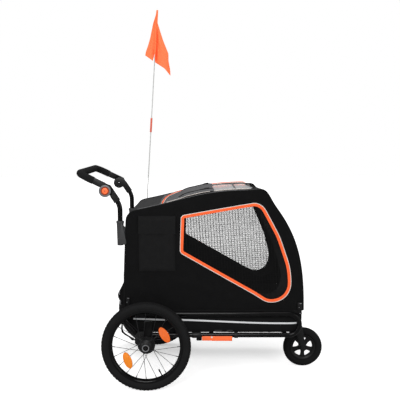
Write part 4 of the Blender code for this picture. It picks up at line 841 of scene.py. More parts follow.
def build_tyre(side, centre):
    """A tyre with five rows of tread blocks."""
    half = [(0.1625, 0.0128), (0.1658, 0.0158), (0.1690, 0.0182), (0.1712, 0.0190), (0.1735, 0.0205),
            (0.1775, 0.0222), (0.1820, 0.0229), (0.1867, 0.0222), (0.1912, 0.0198), (0.1946, 0.0160),
            (0.1967, 0.0105), (0.1977, 0.0050)]
    pieces = [lathed("tyre", mirrored(half), centre, 128)]
    for row, (y, radius, length, width, lean) in enumerate(TREAD_ROWS):
        low, high = (-length / 2, -width / 2, 0), (length / 2, width / 2, TREAD_DEPTH)
        block = rounded_box("block", low, high, 0.0007)
        moved(block, Matrix.Translation((0, y, radius)) @ Matrix.Rotation(math.radians(lean), 4, "X"))
        phase = math.pi / TREAD_BLOCKS * (row > 0)
        pieces.append(ringed(f"blocks_{row}", block, TREAD_BLOCKS, centre, RUBBER, phase))
    dress(smoothed(joined(f"tyre_{side}", *pieces)), RUBBER, f"tyre_rear_{side}", body=f"rear_wheel_{side}")


def build_spokes(side, centre):
    """Crossed spokes from both flanges to the rim, one family of them drawn and set round the wheel."""
    spokes = []
    for index in range(SPOKE_FAMILY):
        angle = math.radians(270) + 2 * math.pi * index / SPOKES
        sense = 1 if index // 2 % 2 else -1
        flange = (0.015 if index % 2 else -0.015) + sense * 0.0020
        start = polar(0.021, angle + math.radians(50) * sense, flange * SIDES[side])
        end = polar(0.1515, angle)
        run = (end - start).normalized()
        spokes.append(swept("spoke", [start - run * 0.002, end], round_section(0.00112, 8)))
        spokes.append(swept("nipple", [end - run * 0.014, end - run * 0.004, end], round_section(0.0019, 6)))
    family = joined("spoke_family", *spokes)
    laced = ringed(f"spokes_{side}", family, SPOKES // SPOKE_FAMILY, centre, STEEL_DARK)
    dress(laced, STEEL_DARK, body=f"rear_wheel_{side}")


def build_hub(side, centre):
    """The hub with its brake disc, whose blind holes take the brake pin."""
    sign = SIDES[side]
    hub = [(0.0074, -0.0215), (0.0388, -0.0215), (0.0390, -0.0211), (0.0390, -0.0161), (0.0388, -0.0157),
           (0.0240, -0.0157), (0.0240, -0.0139), (0.0236, -0.0135), (0.0160, -0.0115),
           (0.0140, -0.0090), (0.0140, 0.0090), (0.0160, 0.0115), (0.0236, 0.0135), (0.0240, 0.0139),
           (0.0240, 0.0161), (0.0236, 0.0165), (0.0175, 0.0185), (0.0160, 0.0200), (0.0160, 0.0240),
           (0.0074, 0.0240)]
    shell = lathed(f"hub_{side}", [(r, a * sign) for r, a in hub], centre, 64)
    drills = []
    reach = Vector((0, 0.0043, 0))
    for index in range(DISC_HOLES):
        angle = math.atan2(0.012, -0.030) + index * math.pi / 4
        spot = centre + polar(DISC_HOLE_RADIUS, angle, -0.0203 * sign)
        drills.append(swept("drill", [spot - reach, spot + reach], round_section(0.0044, 20)))
    drill = joined("drill", *drills)
    holes = shell.modifiers.new("holes", "BOOLEAN")
    holes.object = drill
    holes.solver = "EXACT"
    shell = applied(shell)
    bpy.data.objects.remove(drill)
    dress(shell, PLASTIC, f"wheel_rear_{side}", body=f"rear_wheel_{side}")
    cap = [(0.0118, 0.0240), (0.0158, 0.0240), (0.0158, 0.0306), (0.0148, 0.0320), (0.0126, 0.0320),
           (0.0118, 0.0312)]
    ring = lathed(f"hub_cap_{side}", [(r, a * sign) for r, a in cap], centre, 64)
    dress(ring, STEEL, body=f"rear_wheel_{side}")


def build_rear_wheel(side):
    body = f"rear_wheel_{side}"
    centre = Vector((AXLE_X, SIDES[side] * WHEEL_Y, AXLE_Z))
    half_rim = [(0.1500, 0.0072), (0.1530, 0.0112), (0.1565, 0.0143), (0.1590, 0.0150), (0.1655, 0.0150),
                (0.1655, 0.0132), (0.1605, 0.0118), (0.1585, 0.0060)]
    dress(lathed(f"rim_{side}", mirrored(half_rim), centre, 128), PAINT, body=body)
    build_tyre(side, centre)
    build_spokes(side, centre)
    build_hub(side, centre)

    away = polar(1.0, math.radians(298))
    for label, radius, look, reaches in (("stem", 0.0026, STEEL_DARK, (0.151, 0.128)),
                                         ("cap", 0.0034, PLASTIC, (0.130, 0.1285, 0.1195, 0.1185))):
        line = [centre + away * reach for reach in reaches]
        cord(f"valve_{label}_{side}", line, radius, 16, look, body=body)
    # Painted shade: the upper reflector takes the darker, redder copy of the amber.
    eased(f"reflector_{side}_upper", AMBER_PAINTED_SHADE, 0.0008)
    eased(f"reflector_{side}_lower", AMBER, 0.0008)
    eased(f"axle_button_{side}", PLASTIC, 0.0006)


def build_front_wheel():
    half = [(0.0603, 0.0130), (0.0640, 0.0165), (0.0700, 0.0198), (0.0770, 0.0210), (0.0835, 0.0200),
            (0.0890, 0.0165), (0.0925, 0.0115), (0.0943, 0.0085), (0.0948, 0.0070), (0.0948, 0.0052),
            (0.0932, 0.0044), (0.0932, 0.0030), (0.0950, 0.0022)]
    tyre = lathed("front_tyre_rubber", mirrored(half), FRONT_HUB, 112)
    dress(tyre, RUBBER, "front_tyre", body="front_wheel")

    rim = lathed("rim", mirrored([(0.0480, 0.0100), (0.0490, 0.0112), (0.0585, 0.0148), (0.0600, 0.0150)]),
                 FRONT_HUB, 112)
    hub = lathed("hub", [(0.0054, -0.0250), (0.0155, -0.0250), (0.0175, -0.0230), (0.0175, 0.0230),
                         (0.0155, 0.0250), (0.0054, 0.0250)], FRONT_HUB, 48)
    outline = [(-0.0098, 0.010), (-0.0084, 0.030), (-0.0104, 0.042), (-0.0150, 0.0498), (0.0150, 0.0498),
               (0.0104, 0.042), (0.0084, 0.030), (0.0098, 0.010)]
    arm = moved(plate("arm", outline, -0.0090, 0.0090, 0.0018), Matrix.Rotation(math.pi, 4, "Y"))
    wheel = joined("front_wheel_rim", rim, hub, ringed("arms", arm, 5, FRONT_HUB, PLASTIC))
    dress(smoothed(wheel), PLASTIC, "front_wheel_hub", body="front_wheel")

    for side, sign in SIDES.items():
        start = FRONT_HUB + Vector((0, sign * 0.0300, 0))
        cord(f"front_nut_{side}", [start, start + Vector((0, sign * 0.0050, 0))], 0.0082, 6, STEEL_DARK,
             body="front_fork")


# Frame

GUARD_Y = 0.290
GUARD_LOW_Z = 0.2375
GUARD_HIGH_Z = 0.3335

HARDWARE = (
    (PAINT, 0.0012, ("axle_bracket_right", "axle_bracket_left")),
    (PAINT, 0.0, ("cross_tube_rear", "cross_tube_middle", "cross_tube_front")),
    (PAINT, 0.0010, ("caster_boom", "drawbar_socket")),
    (PAINT, 0.0, ("side_hoop_right", "side_hoop_left")),
    (PLASTIC, 0.0014, ("caster_fork", "brake_unit_right", "brake_unit_left")),
    (PLASTIC, 0.0016, ("brake_pedal",)),
    (STEEL, 0.0005, ("brake_pin_right", "brake_pin_left")),
    (POLE_SHADED, 0.0, ("flag_pole_lower", "flag_pole_upper")),
)

CABLE_ROUTE = ((-0.080, 0.095, 0.254), (-0.112, 0.150, 0.281), (-0.114, 0.240, 0.292), (-0.111, 0.291, 0.284),
               (-0.1095, 0.305, 0.2555), (-0.078, 0.309, 0.2355), (-0.0560, 0.3085, 0.2240))


def build_hardware():
    """The hard solids that need only rounded edges and a smooth skin."""
    for look, width, names in HARDWARE:
        for name in names:
            eased(name, look, width)
    for side, sign in SIDES.items():
        eased(f"brake_cable_{side}", RUBBER, 0.0, "rubber_black")
        line = softened([at(x, sign * y, z) for x, y, z in CABLE_ROUTE], 3, closed=False)
        cord(f"cable_sleeve_{side}", line, 0.0031, 14, RUBBER, slot="rubber_black")


def build_lever():
    flange = rounded_box("flange", at(0.2480, -0.3048, 0.2150), at(0.3835, -0.3016, 0.2356), 0.0014)
    body = rounded_box("body", at(0.2906, -0.3044, 0.2134), at(0.3835, -0.2700, 0.2255), 0.0022)
    lever = smoothed(joined("lever_grip", flange, body))
    dress(lever, PLASTIC_ORANGE, "release_lever", body="release_lever")
    profile = [(0.0001, 0.0), (0.0044, 0.0), (0.0040, 0.0012), (0.0024, 0.0020), (0.0001, 0.0022)]
    rivet = turned("lever_rivet", profile, at(0.292, -0.3046, 0.2310), -1, 24)
    dress(rivet, TAPE_LIGHT, body="release_lever")


def build_frame():
    guard_line = filleted([(0.686, GUARD_LOW_Z, 0.0477), (0.686, GUARD_HIGH_Z, 0.0477),
                           (-0.1294, GUARD_HIGH_Z, 0.028), (-0.0443, GUARD_LOW_Z, 0.040)])
    for side, sign in SIDES.items():
        line = [at(p.x, sign * GUARD_Y, p.y) for p in guard_line]
        pieces = [swept("tube", line, round_section(0.0110, 32), closed=True)]
        if side == "right":
            low, high = at(0.223, -0.2955, 0.2125), at(0.247, -0.27885, 0.2375)
            pieces.append(rounded_box("catch", low, high, 0.002))
        dress(smoothed(joined(f"guard_tube_{side}", *pieces)), PAINT, f"guard_loop_{side}")
        for x, width in ((0.401, 0.016), (0.2235, 0.040)):
            wrap = [(0.0112, -width / 2), (0.0134, -width / 2), (0.0138, -width / 2 + 0.001),
                    (0.0138, width / 2 - 0.001), (0.0134, width / 2), (0.0112, width / 2)]
            clip = lathed(f"tube_clip_{side}_{int(x * 1000)}", wrap, (0, 0, 0), 32, axis="Z")
            spot = at(x, sign * GUARD_Y, GUARD_LOW_Z)
            moved(clip, Matrix.Translation(spot) @ Matrix.Rotation(math.pi / 2, 4, "Y"))
            dress(clip, PLASTIC)


# Cabin

CABIN_RING, WINDOW_RING = [[Vector((p.x, p.z)) for p in ring]
                           for ring in face_rings("cabin_side_right", (0, -1, 0))[:2]]
FRONT_TOP_X = 0.521 + AXLE_X
REAR_DOOR_TOP = 0.735
ROOF_HALF = 0.2764
FRONT_DOOR_HALF = 0.2758
REAR_DOOR_HALF = 0.2496


def open_path(ring, level):
    """A ring as a path that starts at its rear end on a level and first runs away from that level."""
    ends = [i for i, p in enumerate(ring) if abs(p.y - level) < 1e-4]
    rear = min(ends, key=lambda i: ring[i].x)
    line = ring[rear:] + ring[:rear]
    return [line[0]] + line[:0:-1] if abs(line[1].y - level) < 1e-4 else line


def run_of(line, spacing):
    """An evenly stepped copy of a line, with the distance run at each point."""
    points = divided(softened(line, 2, closed=False), spacing, closed=False)
    run = [0.0]
    for a, b in zip(points, points[1:]):
        run.append(run[-1] + (b - a).length)
    return points, run


def along(points, run, distance):
    """The place and the outward normal on a stepped line at a distance."""
    low, high = 0, len(run) - 1
    while high - low > 1:
        middle = (low + high) // 2
        if run[middle] <= distance:
            low = middle
        else:
            high = middle
    span = run[high] - run[low] or 1.0
    place = points[low].lerp(points[high], clamped((distance - run[low]) / span))
    heading = (points[min(high + 1, len(points) - 1)] - points[max(low - 1, 0)]).normalized()
    return place, Vector((-heading.y, heading.x))


# The cabin's side view from its rear foot over the roof to its front foot
PATH = open_path(CABIN_RING, min(p.y for p in CABIN_RING))
BROW_INDEX = min(range(len(PATH)), key=lambda i: abs(PATH[i].x - FRONT_TOP_X) + (0 if PATH[i].y > 0.8 else 1))
ROOF_TOP = [p for p in PATH[:BROW_INDEX + 1] if p.y > REAR_DOOR_TOP]
ROOF_REAR = PATH[1].lerp(ROOF_TOP[0], (REAR_DOOR_TOP - PATH[1].y) / (ROOF_TOP[0].y - PATH[1].y))
ROOF_POINTS, ROOF_RUN = run_of([ROOF_REAR, *ROOF_TOP], 0.006)


def brow_shift(spot):
    """The cloth's place once the brow is fuller on the right and hangs lower on the left, as photographed."""
    x, y, z = spot.x - AXLE_X, spot.y, spot.z
    near = math.exp(-(((x - 0.525) / 0.045) ** 2) - ((z - 0.872) / 0.045) ** 2)
    near = smooth_step((-y - 0.05) / 0.22) * near
    far = smooth_step((y + 0.10) / 0.37) * smooth_step((x - 0.452) / 0.062) * smooth_step((z - 0.55) / 0.30)
    return spot + Vector((0.0075 * near, 0, 0.0075 * near - 0.027 * far))


SIDE_FOLDS = (
    (-0.0012, (-0.035, 0.40), (-0.030, 0.78), 0.010), (0.0012, (0.10, 0.50), (0.50, 0.37), 0.020),
    (0.0010, (-0.09, 0.46), (0.12, 0.40), 0.016), (0.0011, (0.18, 0.84), (0.30, 0.86), 0.014),
)


def side_relief(x, z):
    """How far a side panel stands out from its flat plane: slack, soft rolls and tension folds."""
    rear = x - (AXLE_X - 0.101)
    out = 0.0016 * ruffle(x, z, 0.16, 3.0) + 0.0006 * ruffle(x, z, 0.045, 7.0)
    out -= 0.0030 * math.exp(-((rear / 0.030) ** 2))
    for height, start, end, width in SIDE_FOLDS:
        out += height * fold(x - AXLE_X, z, start, end, width)
    return out


# The see-through part of each window as (x, z, bend radius) corners, X from the rear axle. Round it a black
# sheet just inside the net paints the shade of the cabin seen through the net.
CLEAR_CORNERS = [
    (0.1440, 0.7690, 0.002), (0.4900, 0.8255, 0.004), (0.5170, 0.7554, 0.060), (0.5461, 0.6905, 0.100),
    (0.5754, 0.6181, 0.100), (0.5941, 0.5454, 0.100), (0.6016, 0.5090, 0.040), (0.5969, 0.4725, 0.040),
    (0.5806, 0.4418, 0.030), (0.5482, 0.4213, 0.040), (0.5121, 0.4242, 0.040), (0.4759, 0.4418, 0.100),
    (0.2952, 0.5440, 0.100), (0.1440, 0.6277, 0.004),
]


def piping_ring(inward):
    """The window's edge moved inwards, and a little more so along its rear and lower sides."""
    edge = divided(softened(WINDOW_RING, 2), 0.006)
    count = len(edge)
    centre = sum(edge, Vector((0, 0))) / count
    ring = []
    for i, here in enumerate(edge):
        run = (edge[(i + 1) % count] - edge[i - 1]).normalized()
        normal = Vector((run.y, -run.x))
        if normal.dot(here - centre) < 0:
            normal = -normal
        low_rear = clamped(0.75 * (-normal.x - normal.y))
        high_rear = max(0.0, -normal.x) * clamped((here.y - 0.62) / 0.14)
        under = max(0.0, -normal.y) * clamped((here.x - AXLE_X - 0.48) / 0.06)
        ring.append(here - normal * (inward + 0.0038 * low_rear + 0.0048 * high_rear - 0.0050 * under))
    return ring


def build_sides():
    window = inset(divided(WINDOW_RING, 0.012), -0.003)
    clear = [Vector((p.x + AXLE_X, p.y)) for p in filleted(CLEAR_CORNERS)]
    panel_cut = cut_cloth(CABIN_RING, [WINDOW_RING], 0.009)
    shade_cut = cut_cloth(window, [clear], 0.012)
    net_flat, net_faces = cut_cloth(window, [], 0.020)
    tape_edge, lip_edge = piping_ring(0.0015), piping_ring(-0.0058)
    seam_line = divided(softened(PATH, 2, closed=False), 0.01, closed=False)
    for side, sign in SIDES.items():
        def on_side(p, level):
            return Vector((p.x, sign * level, p.y))

        def panel_place(p):
            lift = max(-0.0016, min(0.0035, side_relief(p.x, p.y)))
            return brow_shift(on_side(p, CABIN_Y + 0.0008 + lift))
        panel = cloth(f"side_cloth_{side}", panel_cut, panel_place, 0.0012, (0, -sign, 0))
        dress(panel, CLOTH, f"cabin_side_{side}")
        # Painted shade: a black sheet just inside the net, open only at the see-through part, stands in for the
        # dark cabin seen through the net.
        shade_sheet = cloth(f"window_border_{side}", shade_cut, lambda p: on_side(p, CABIN_Y - 0.0012), 0.0008,
                       (0, -sign, 0))
        dress(shade_sheet, BINDING)
        spots = [on_side(p, CABIN_Y - 0.0006 + 0.0012 * ruffle(p.x, p.y, 0.2, 1.0)) for p in net_flat]
        net = smoothed(solid(f"window_net_{side}", spots, net_faces, outward=False), 180)
        dress(net, NET_CORDED if sign < 0 else NET_FINE, f"window_mesh_{side}")
        tape(f"window_tape_{side}", [on_side(p, CABIN_Y + 0.0015) for p in tape_edge], 0.0122, 0.0024,
             TAPE_ORANGE, (0, sign, 0), closed=True)
        cord(f"window_lip_{side}", [on_side(p, CABIN_Y + 0.0024) for p in lip_edge], 0.0016, 10, TAPE_LIGHT,
             closed=True)
        seam = [brow_shift(on_side(p, CABIN_Y - 0.0004)) for p in seam_line]
        cord(f"side_seam_{side}", seam, 0.0024, 12, BINDING)


HATCH = [Vector((p.x + AXLE_X, p.y)) for p in filleted([
    (0.060, -0.205, 0.090), (0.060, 0.205, 0.090), (0.490, 0.205, 0.020), (0.490, -0.205, 0.020)])]

HATCH_ROUTE = ((0.0730, -0.2640), (0.0730, -0.2000), (0.0735, -0.1000), (0.0770, 0.0000), (0.0900, 0.0900),
               (0.1250, 0.1650), (0.1750, 0.2020), (0.2500, 0.2080), (0.4700, 0.2080))


def roof_point(x):
    """The roof's outer height and outward normal at a place along it."""
    for a, b in zip(ROOF_POINTS, ROOF_POINTS[1:]):
        if a.x <= x <= b.x and b.x > a.x:
            heading = (b - a).normalized()
            return a.lerp(b, (x - a.x) / (b.x - a.x)), Vector((-heading.y, heading.x))
    return ROOF_POINTS[-1], Vector((0, 1))


def on_roof(x, y, lift):
    """A place a little above the roof."""
    spot, normal = roof_point(x)
    spot = spot + normal * (lift + 0.0010)
    return brow_shift(Vector((spot.x, y, spot.y)))


def roof_relief(x, y, run):
    edge = (abs(y) / 0.277) ** 2
    out = 0.0020 * (1 - edge) + 0.0014 * ruffle(x, y, 0.13, 11.0) + 0.0005 * ruffle(x, y, 0.04, 4.0)
    out -= 0.0030 * fold(x - AXLE_X, y, (-0.020, -0.235), (0.050, -0.030), 0.007)
    out -= 0.0022 * fold(x - AXLE_X, y, (-0.010, 0.220), (0.045, 0.050), 0.008)
    return out * min(1.0, run / 0.02)


def build_roof():
    length = ROOF_RUN[-1]
    run_at = [(r, p.x) for p, r in zip(ROOF_POINTS, ROOF_RUN) if p.y > 0.79]
    opening = [Vector((crossing(run_at, p.x), p.y)) for p in HATCH]

    def place(p):
        spot, normal = along(ROOF_POINTS, ROOF_RUN, p.x)
        spot = spot + normal * roof_relief(spot.x, p.y, min(p.x, length - p.x))
        return brow_shift(Vector((spot.x, p.y, spot.y)))
    cut = cut_cloth(rectangle(0, -ROOF_HALF, length, ROOF_HALF), [opening], 0.011)
    # The roof cloth takes the painted-sheen grey copy of the black cloth.
    dress(cloth("roof_cloth", cut, place, 0.0014, (0.05, 0, -1)), CLOTH_ROOF_SHEEN, "cabin_roof")

    def pane_place(p):
        return on_roof(p.x, p.y, -0.0022 + 0.0012 * ruffle(p.x, p.y, 0.09, 5.0))
    cut = cut_cloth(inset(HATCH, -0.002), [], 0.016)
    dress(cloth("roof_vinyl", cut, pane_place, 0.0006, (0, 0, -1)), VINYL, "roof_window")

    route = divided(softened(HATCH_ROUTE, 3, closed=False), 0.006, closed=False)
    for name, offset, lift, radius, look in (("hatch_piping", 0.0, 0.0044, 0.0034, TAPE_ORANGE),
                                             ("hatch_edge_outer", 0.0046, 0.0034, 0.0015, TAPE_LIGHT),
                                             ("hatch_edge_inner", -0.0046, 0.0034, 0.0015, TAPE_LIGHT)):
        line = [on_roof(AXLE_X + p.x, p.y, lift) for p in inset(route, offset, closed=False)]
        cord(name, line, radius, 12, look)
    cord("hatch_edge_near", [on_roof(AXLE_X + 0.010 * k, -0.2070, 0.0012) for k in range(30, 47)], 0.0022, 12,
         TAPE_LIGHT)
    for side, sign in SIDES.items():
        edge = [on_roof(AXLE_X + 0.010 * k, sign * 0.2715, 0.0012) for k in range(-4, 46)]
        cord(f"roof_edge_{side}", edge, 0.0012, 10, PLASTIC_LIGHT)
    front = sorted((p for p in HATCH if p.x > AXLE_X + 0.40), key=lambda p: p.y)
    front = [on_roof(p.x, p.y, 0.0004) for p in divided(front, 0.006, closed=False)]
    tape("hatch_binding_front", front, 0.0120, 0.0020, BINDING, (0, 0, 1))
    bar_x = AXLE_X + 0.402
    bar = [on_roof(bar_x, y * 0.01, 0.0002) for y in range(-20, 21)]
    tape("hatch_seam_bar", bar, 0.006, 0.0014, PLASTIC_LIGHT, (0, 0, 1))


COVER_NEAR = -0.262
COVER_FAR = 0.213
COVER_STEPS = 48
COVER_LAYERS = (
    (0.0560, 0.0012), (0.100, 0.0022), (0.130, 0.0030), (0.150, 0.0050), (0.162, 0.0100), (0.185, 0.0124),
    (0.215, 0.0116), (0.250, 0.0126), (0.280, 0.0120), (0.296, 0.0090), (0.302, 0.0052), (0.296, 0.0016),
)
COVER_EDGE = ((0.090, 0.0026), (0.120, 0.0030), (0.150, 0.0040), (0.180, 0.0072), (0.215, 0.0074),
              (0.250, 0.0082), (0.285, 0.0072))


def build_cover():
    """The grey cover of the hatch, folded back on itself into a soft roll behind the clear part."""
    fine = softened([(x + AXLE_X, lift) for x, lift in COVER_LAYERS], 2, closed=False)

    def place(k, i):
        x, lift = fine[i]
        y = COVER_NEAR + (COVER_FAR - COVER_NEAR) * k / COVER_STEPS
        droop = 1 - 0.25 * (y / (COVER_NEAR if y < 0 else COVER_FAR)) ** 6
        wave = 0.0016 * ruffle(x, y, 0.05, 2.0) + 0.0009 * ruffle(x, y * 0.4, 0.016, 6.0)
        return on_roof(x + 0.004 * ruffle(y, 0.3, 0.12, 9.0), y, max(0.0006, lift * droop + wave))
    cover = grid_sheet("roof_cover", COVER_STEPS, len(fine) - 1, place, 0.0010)
    dress(cover, CLOTH_GREY, "roof_cover_folded")

    profile = [p for p in fine if p.y > 0.0040][:-2]
    ups = [Vector((roof_point(p.x)[1].x, 0, roof_point(p.x)[1].y)) for p in profile]
    for side, sign in SIDES.items():
        y = sign * 0.158
        line = [on_roof(p.x, y, p.y + 0.0010) for p in profile]
        tape(f"cover_strap_{side}", line, 0.020, 0.0014, BINDING, ups)
        buckle = joined(f"cover_buckle_{side}",
                        rounded_box("buckle", (-0.010, -0.0115, 0.0), (0.012, 0.0115, 0.0048), 0.0016),
                        rounded_box("bar", (-0.018, -0.0095, 0.0006), (-0.008, 0.0095, 0.0034), 0.0012))
        spot, normal = roof_point(AXLE_X + 0.272)
        lean = math.atan2(normal.x, normal.y)
        moved(buckle, Matrix.Translation(on_roof(spot.x, y, 0.0128)) @ Matrix.Rotation(lean, 4, "Y"))
        dress(smoothed(buckle), PLASTIC)
        end = COVER_NEAR if sign < 0 else COVER_FAR
        cord(f"cover_piping_{side}", [on_roof(x + AXLE_X, end, lift) for x, lift in COVER_EDGE], 0.0014, 10,
             TAPE_LIGHT)


def rear_bulge(y, z):
    """How far the foot of the rear door bellies out behind the tray."""
    level = math.exp(-(((z - 0.398) / 0.042) ** 2)) + 0.25 * math.exp(-(((z - 0.50) / 0.06) ** 2))
    return 0.038 * level * (1 - min(1.0, abs(y) / REAR_DOOR_HALF) ** 16)


def build_doors():
    points, run = run_of(PATH[BROW_INDEX:], 0.008)

    def front_place(p):
        spot, normal = along(points, run, p.x)
        out = 0.0016 * ruffle(p.y, spot.y, 0.14, 21.0) + 0.0020 * (1 - (p.y / 0.276) ** 2)
        spot = spot + normal * out * min(1.0, p.x / 0.03)
        return brow_shift(Vector((spot.x, p.y, spot.y)))
    cut = cut_cloth(rectangle(0, -FRONT_DOOR_HALF, run[-1], FRONT_DOOR_HALF), [], 0.012)
    door = cloth("front_door_cloth", cut, front_place, 0.0014, (-1, 0, -0.3))
    dress(door, CLOTH, "front_door", body="front_door")

    low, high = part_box("rear_door")
    rear_line = [*PATH[:2], ROOF_REAR]

    def rear_place(p):
        for a, b in zip(rear_line, rear_line[1:]):
            if a.y <= p.y <= b.y + 1e-6:
                x = a.x + (b.x - a.x) * (p.y - a.y) / (b.y - a.y)
        out = 0.0014 * ruffle(p.x, p.y, 0.12, 31.0) * min(1.0, (high.z - p.y) / 0.02)
        return Vector((x - 0.0004 - out - rear_bulge(p.x, p.y), p.x, p.y))
    cut = cut_cloth(rectangle(-REAR_DOOR_HALF, low.z, REAR_DOOR_HALF, high.z), [], 0.012)
    dress(cloth("rear_door_cloth", cut, rear_place, 0.0014, (1, 0, 0)), CLOTH, "rear_door", body="rear_door")
    for side, sign in SIDES.items():
        zip_y = sign * 0.2320
        line = [at(-0.1015 - rear_bulge(zip_y, z) - 0.0022, zip_y, z)
                for z in (0.440, 0.425, 0.410, 0.395, 0.380, 0.365)]
        tape(f"rear_zip_{side}", softened(line, 2, closed=False), 0.0060, 0.0016, STEEL_DARK, (-1, 0, 0),
             body="rear_door", slot="plastic_grey")
        for index, z in enumerate((0.418, 0.372)):
            x = -0.1050 - rear_bulge(zip_y, z)
            pull = rounded_box(f"rear_zip_pull_{side}_{index}", at(x - 0.0022, zip_y - 0.0035, z - 0.010),
                               at(x + 0.0016, zip_y + 0.0035, z + 0.010), 0.0012)
            dress(pull, STEEL, body="rear_door")


def side_box(name, x, z, half_x, half_z, face, depth, bevel, look):
    """A small rounded box that stands out from a side panel, given by its middle and its half sizes."""
    inner, outer = sorted((face, face + depth))
    low, high = at(x - half_x, inner, z - half_z), at(x + half_x, outer, z + half_z)
    dress(rounded_box(name, low, high, bevel), look)


BUCKLE_DEPTH = 0.0055


def build_corner_fittings():
    """The straps and buckles at the feet of the side panels, with small steel bars that paint in their
    highlights.
    """
    for side, sign in SIDES.items():
        out = sign * (CABIN_Y + 0.0032)
        for label, x, z, width, height in (("front", 0.6880, 0.3690, 0.020, 0.030),
                                           ("rear", -0.0840, 0.3930, 0.013, 0.030)):
            stands = sign * BUCKLE_DEPTH
            side_box(f"{label}_buckle_{side}", x, z, width / 2, height / 2, out, stands, 0.0018, PLASTIC)
            line = [at(x + dx, out + sign * dy, z - height / 2 - dz)
                    for dx, dy, dz in ((0, 0, 0), (0.001, 0.0008, 0.010), (0.002, 0.0012, 0.022))]
            tape(f"{label}_strap_{side}", softened(line, 1, closed=False), width * 0.7, 0.0014, BINDING,
                 (0, sign, 0))
            # Painted highlights: small bright steel bars on the buckles and at the strap ends, where these
            # catch the light.
            glints = ((0.002, height / 2 - 0.0030, 0.0040), (-0.004, -0.006, 0.0022),
                      (0.001, -height / 2 - 0.018, 0.0036))
            for index, (dx, dz, half) in enumerate(glints):
                side_box(f"{label}_buckle_pin_{side}_{index}", x + dx, z + dz, half, 0.0010,
                         out + stands, sign * 0.0009, 0.0004, STEEL)


POCKET_COLUMNS = 26
POCKET_ROWS = 34
FLAP_ROWS = 22


def build_pocket():
    """A slack bellows pocket under a flap, both creased like the photographed ones."""
    low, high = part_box("side_pocket")
    flap_low, flap_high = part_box("pocket_flap")

    def crease(x, z):
        return (0.0034 * ruffle(x, z * 0.30, 0.022, 14.0) + 0.0022 * ruffle(x * 0.5, z, 0.060, 17.0)
                + 0.0010 * fold(x, z, (low.x + 0.02, low.z + 0.03), (high.x - 0.02, low.z + 0.012), 0.010))

    def bag_place(k, i):
        z = low.z + (high.z - low.z) * k / POCKET_ROWS
        x = low.x + (high.x - low.x) * i / POCKET_COLUMNS
        rim = min(x - low.x, high.x - x, z - low.z + 0.001)
        depth = min(1.0, (rim / 0.012) ** 0.5) if rim > 0 else 0.0
        y = -CABIN_Y - 0.0014 - (abs(low.y + CABIN_Y) - 0.0030) * depth - crease(x, z) * depth
        return Vector((x, y, z))

    def flap_place(k, i):
        z = flap_high.z - (flap_high.z - flap_low.z) * k / FLAP_ROWS
        x = flap_low.x - 0.001 + (flap_high.x - flap_low.x + 0.002) * i / POCKET_COLUMNS
        drop = flap_high.z - z
        y = flap_high.y - 0.0014 - 0.0096 * min(1.0, (drop / 0.018) ** 0.7)
        y -= 0.0020 * ruffle(x, z * 0.5, 0.026, 25.0) * min(1.0, drop / 0.02) - 0.0006
        return Vector((x, max(y, flap_low.y - 0.0020), z))
    bag = grid_sheet("pocket_bag", POCKET_ROWS, POCKET_COLUMNS, bag_place, 0.0012)
    dress(bag, CLOTH_POCKET, "side_pocket")
    flap = grid_sheet("pocket_flap_cloth", FLAP_ROWS, POCKET_COLUMNS, flap_place, 0.0014)
    dress(flap, CLOTH_POCKET, "pocket_flap", body="pocket_flap")


STRIP_ROUTE = ((-0.0612, 0.3093), (0.0828, 0.3038), (0.1598, 0.3038), (0.2390, 0.3010), (0.3741, 0.2946),
               (0.5092, 0.2891), (0.6444, 0.2877), (0.6736, 0.2900))


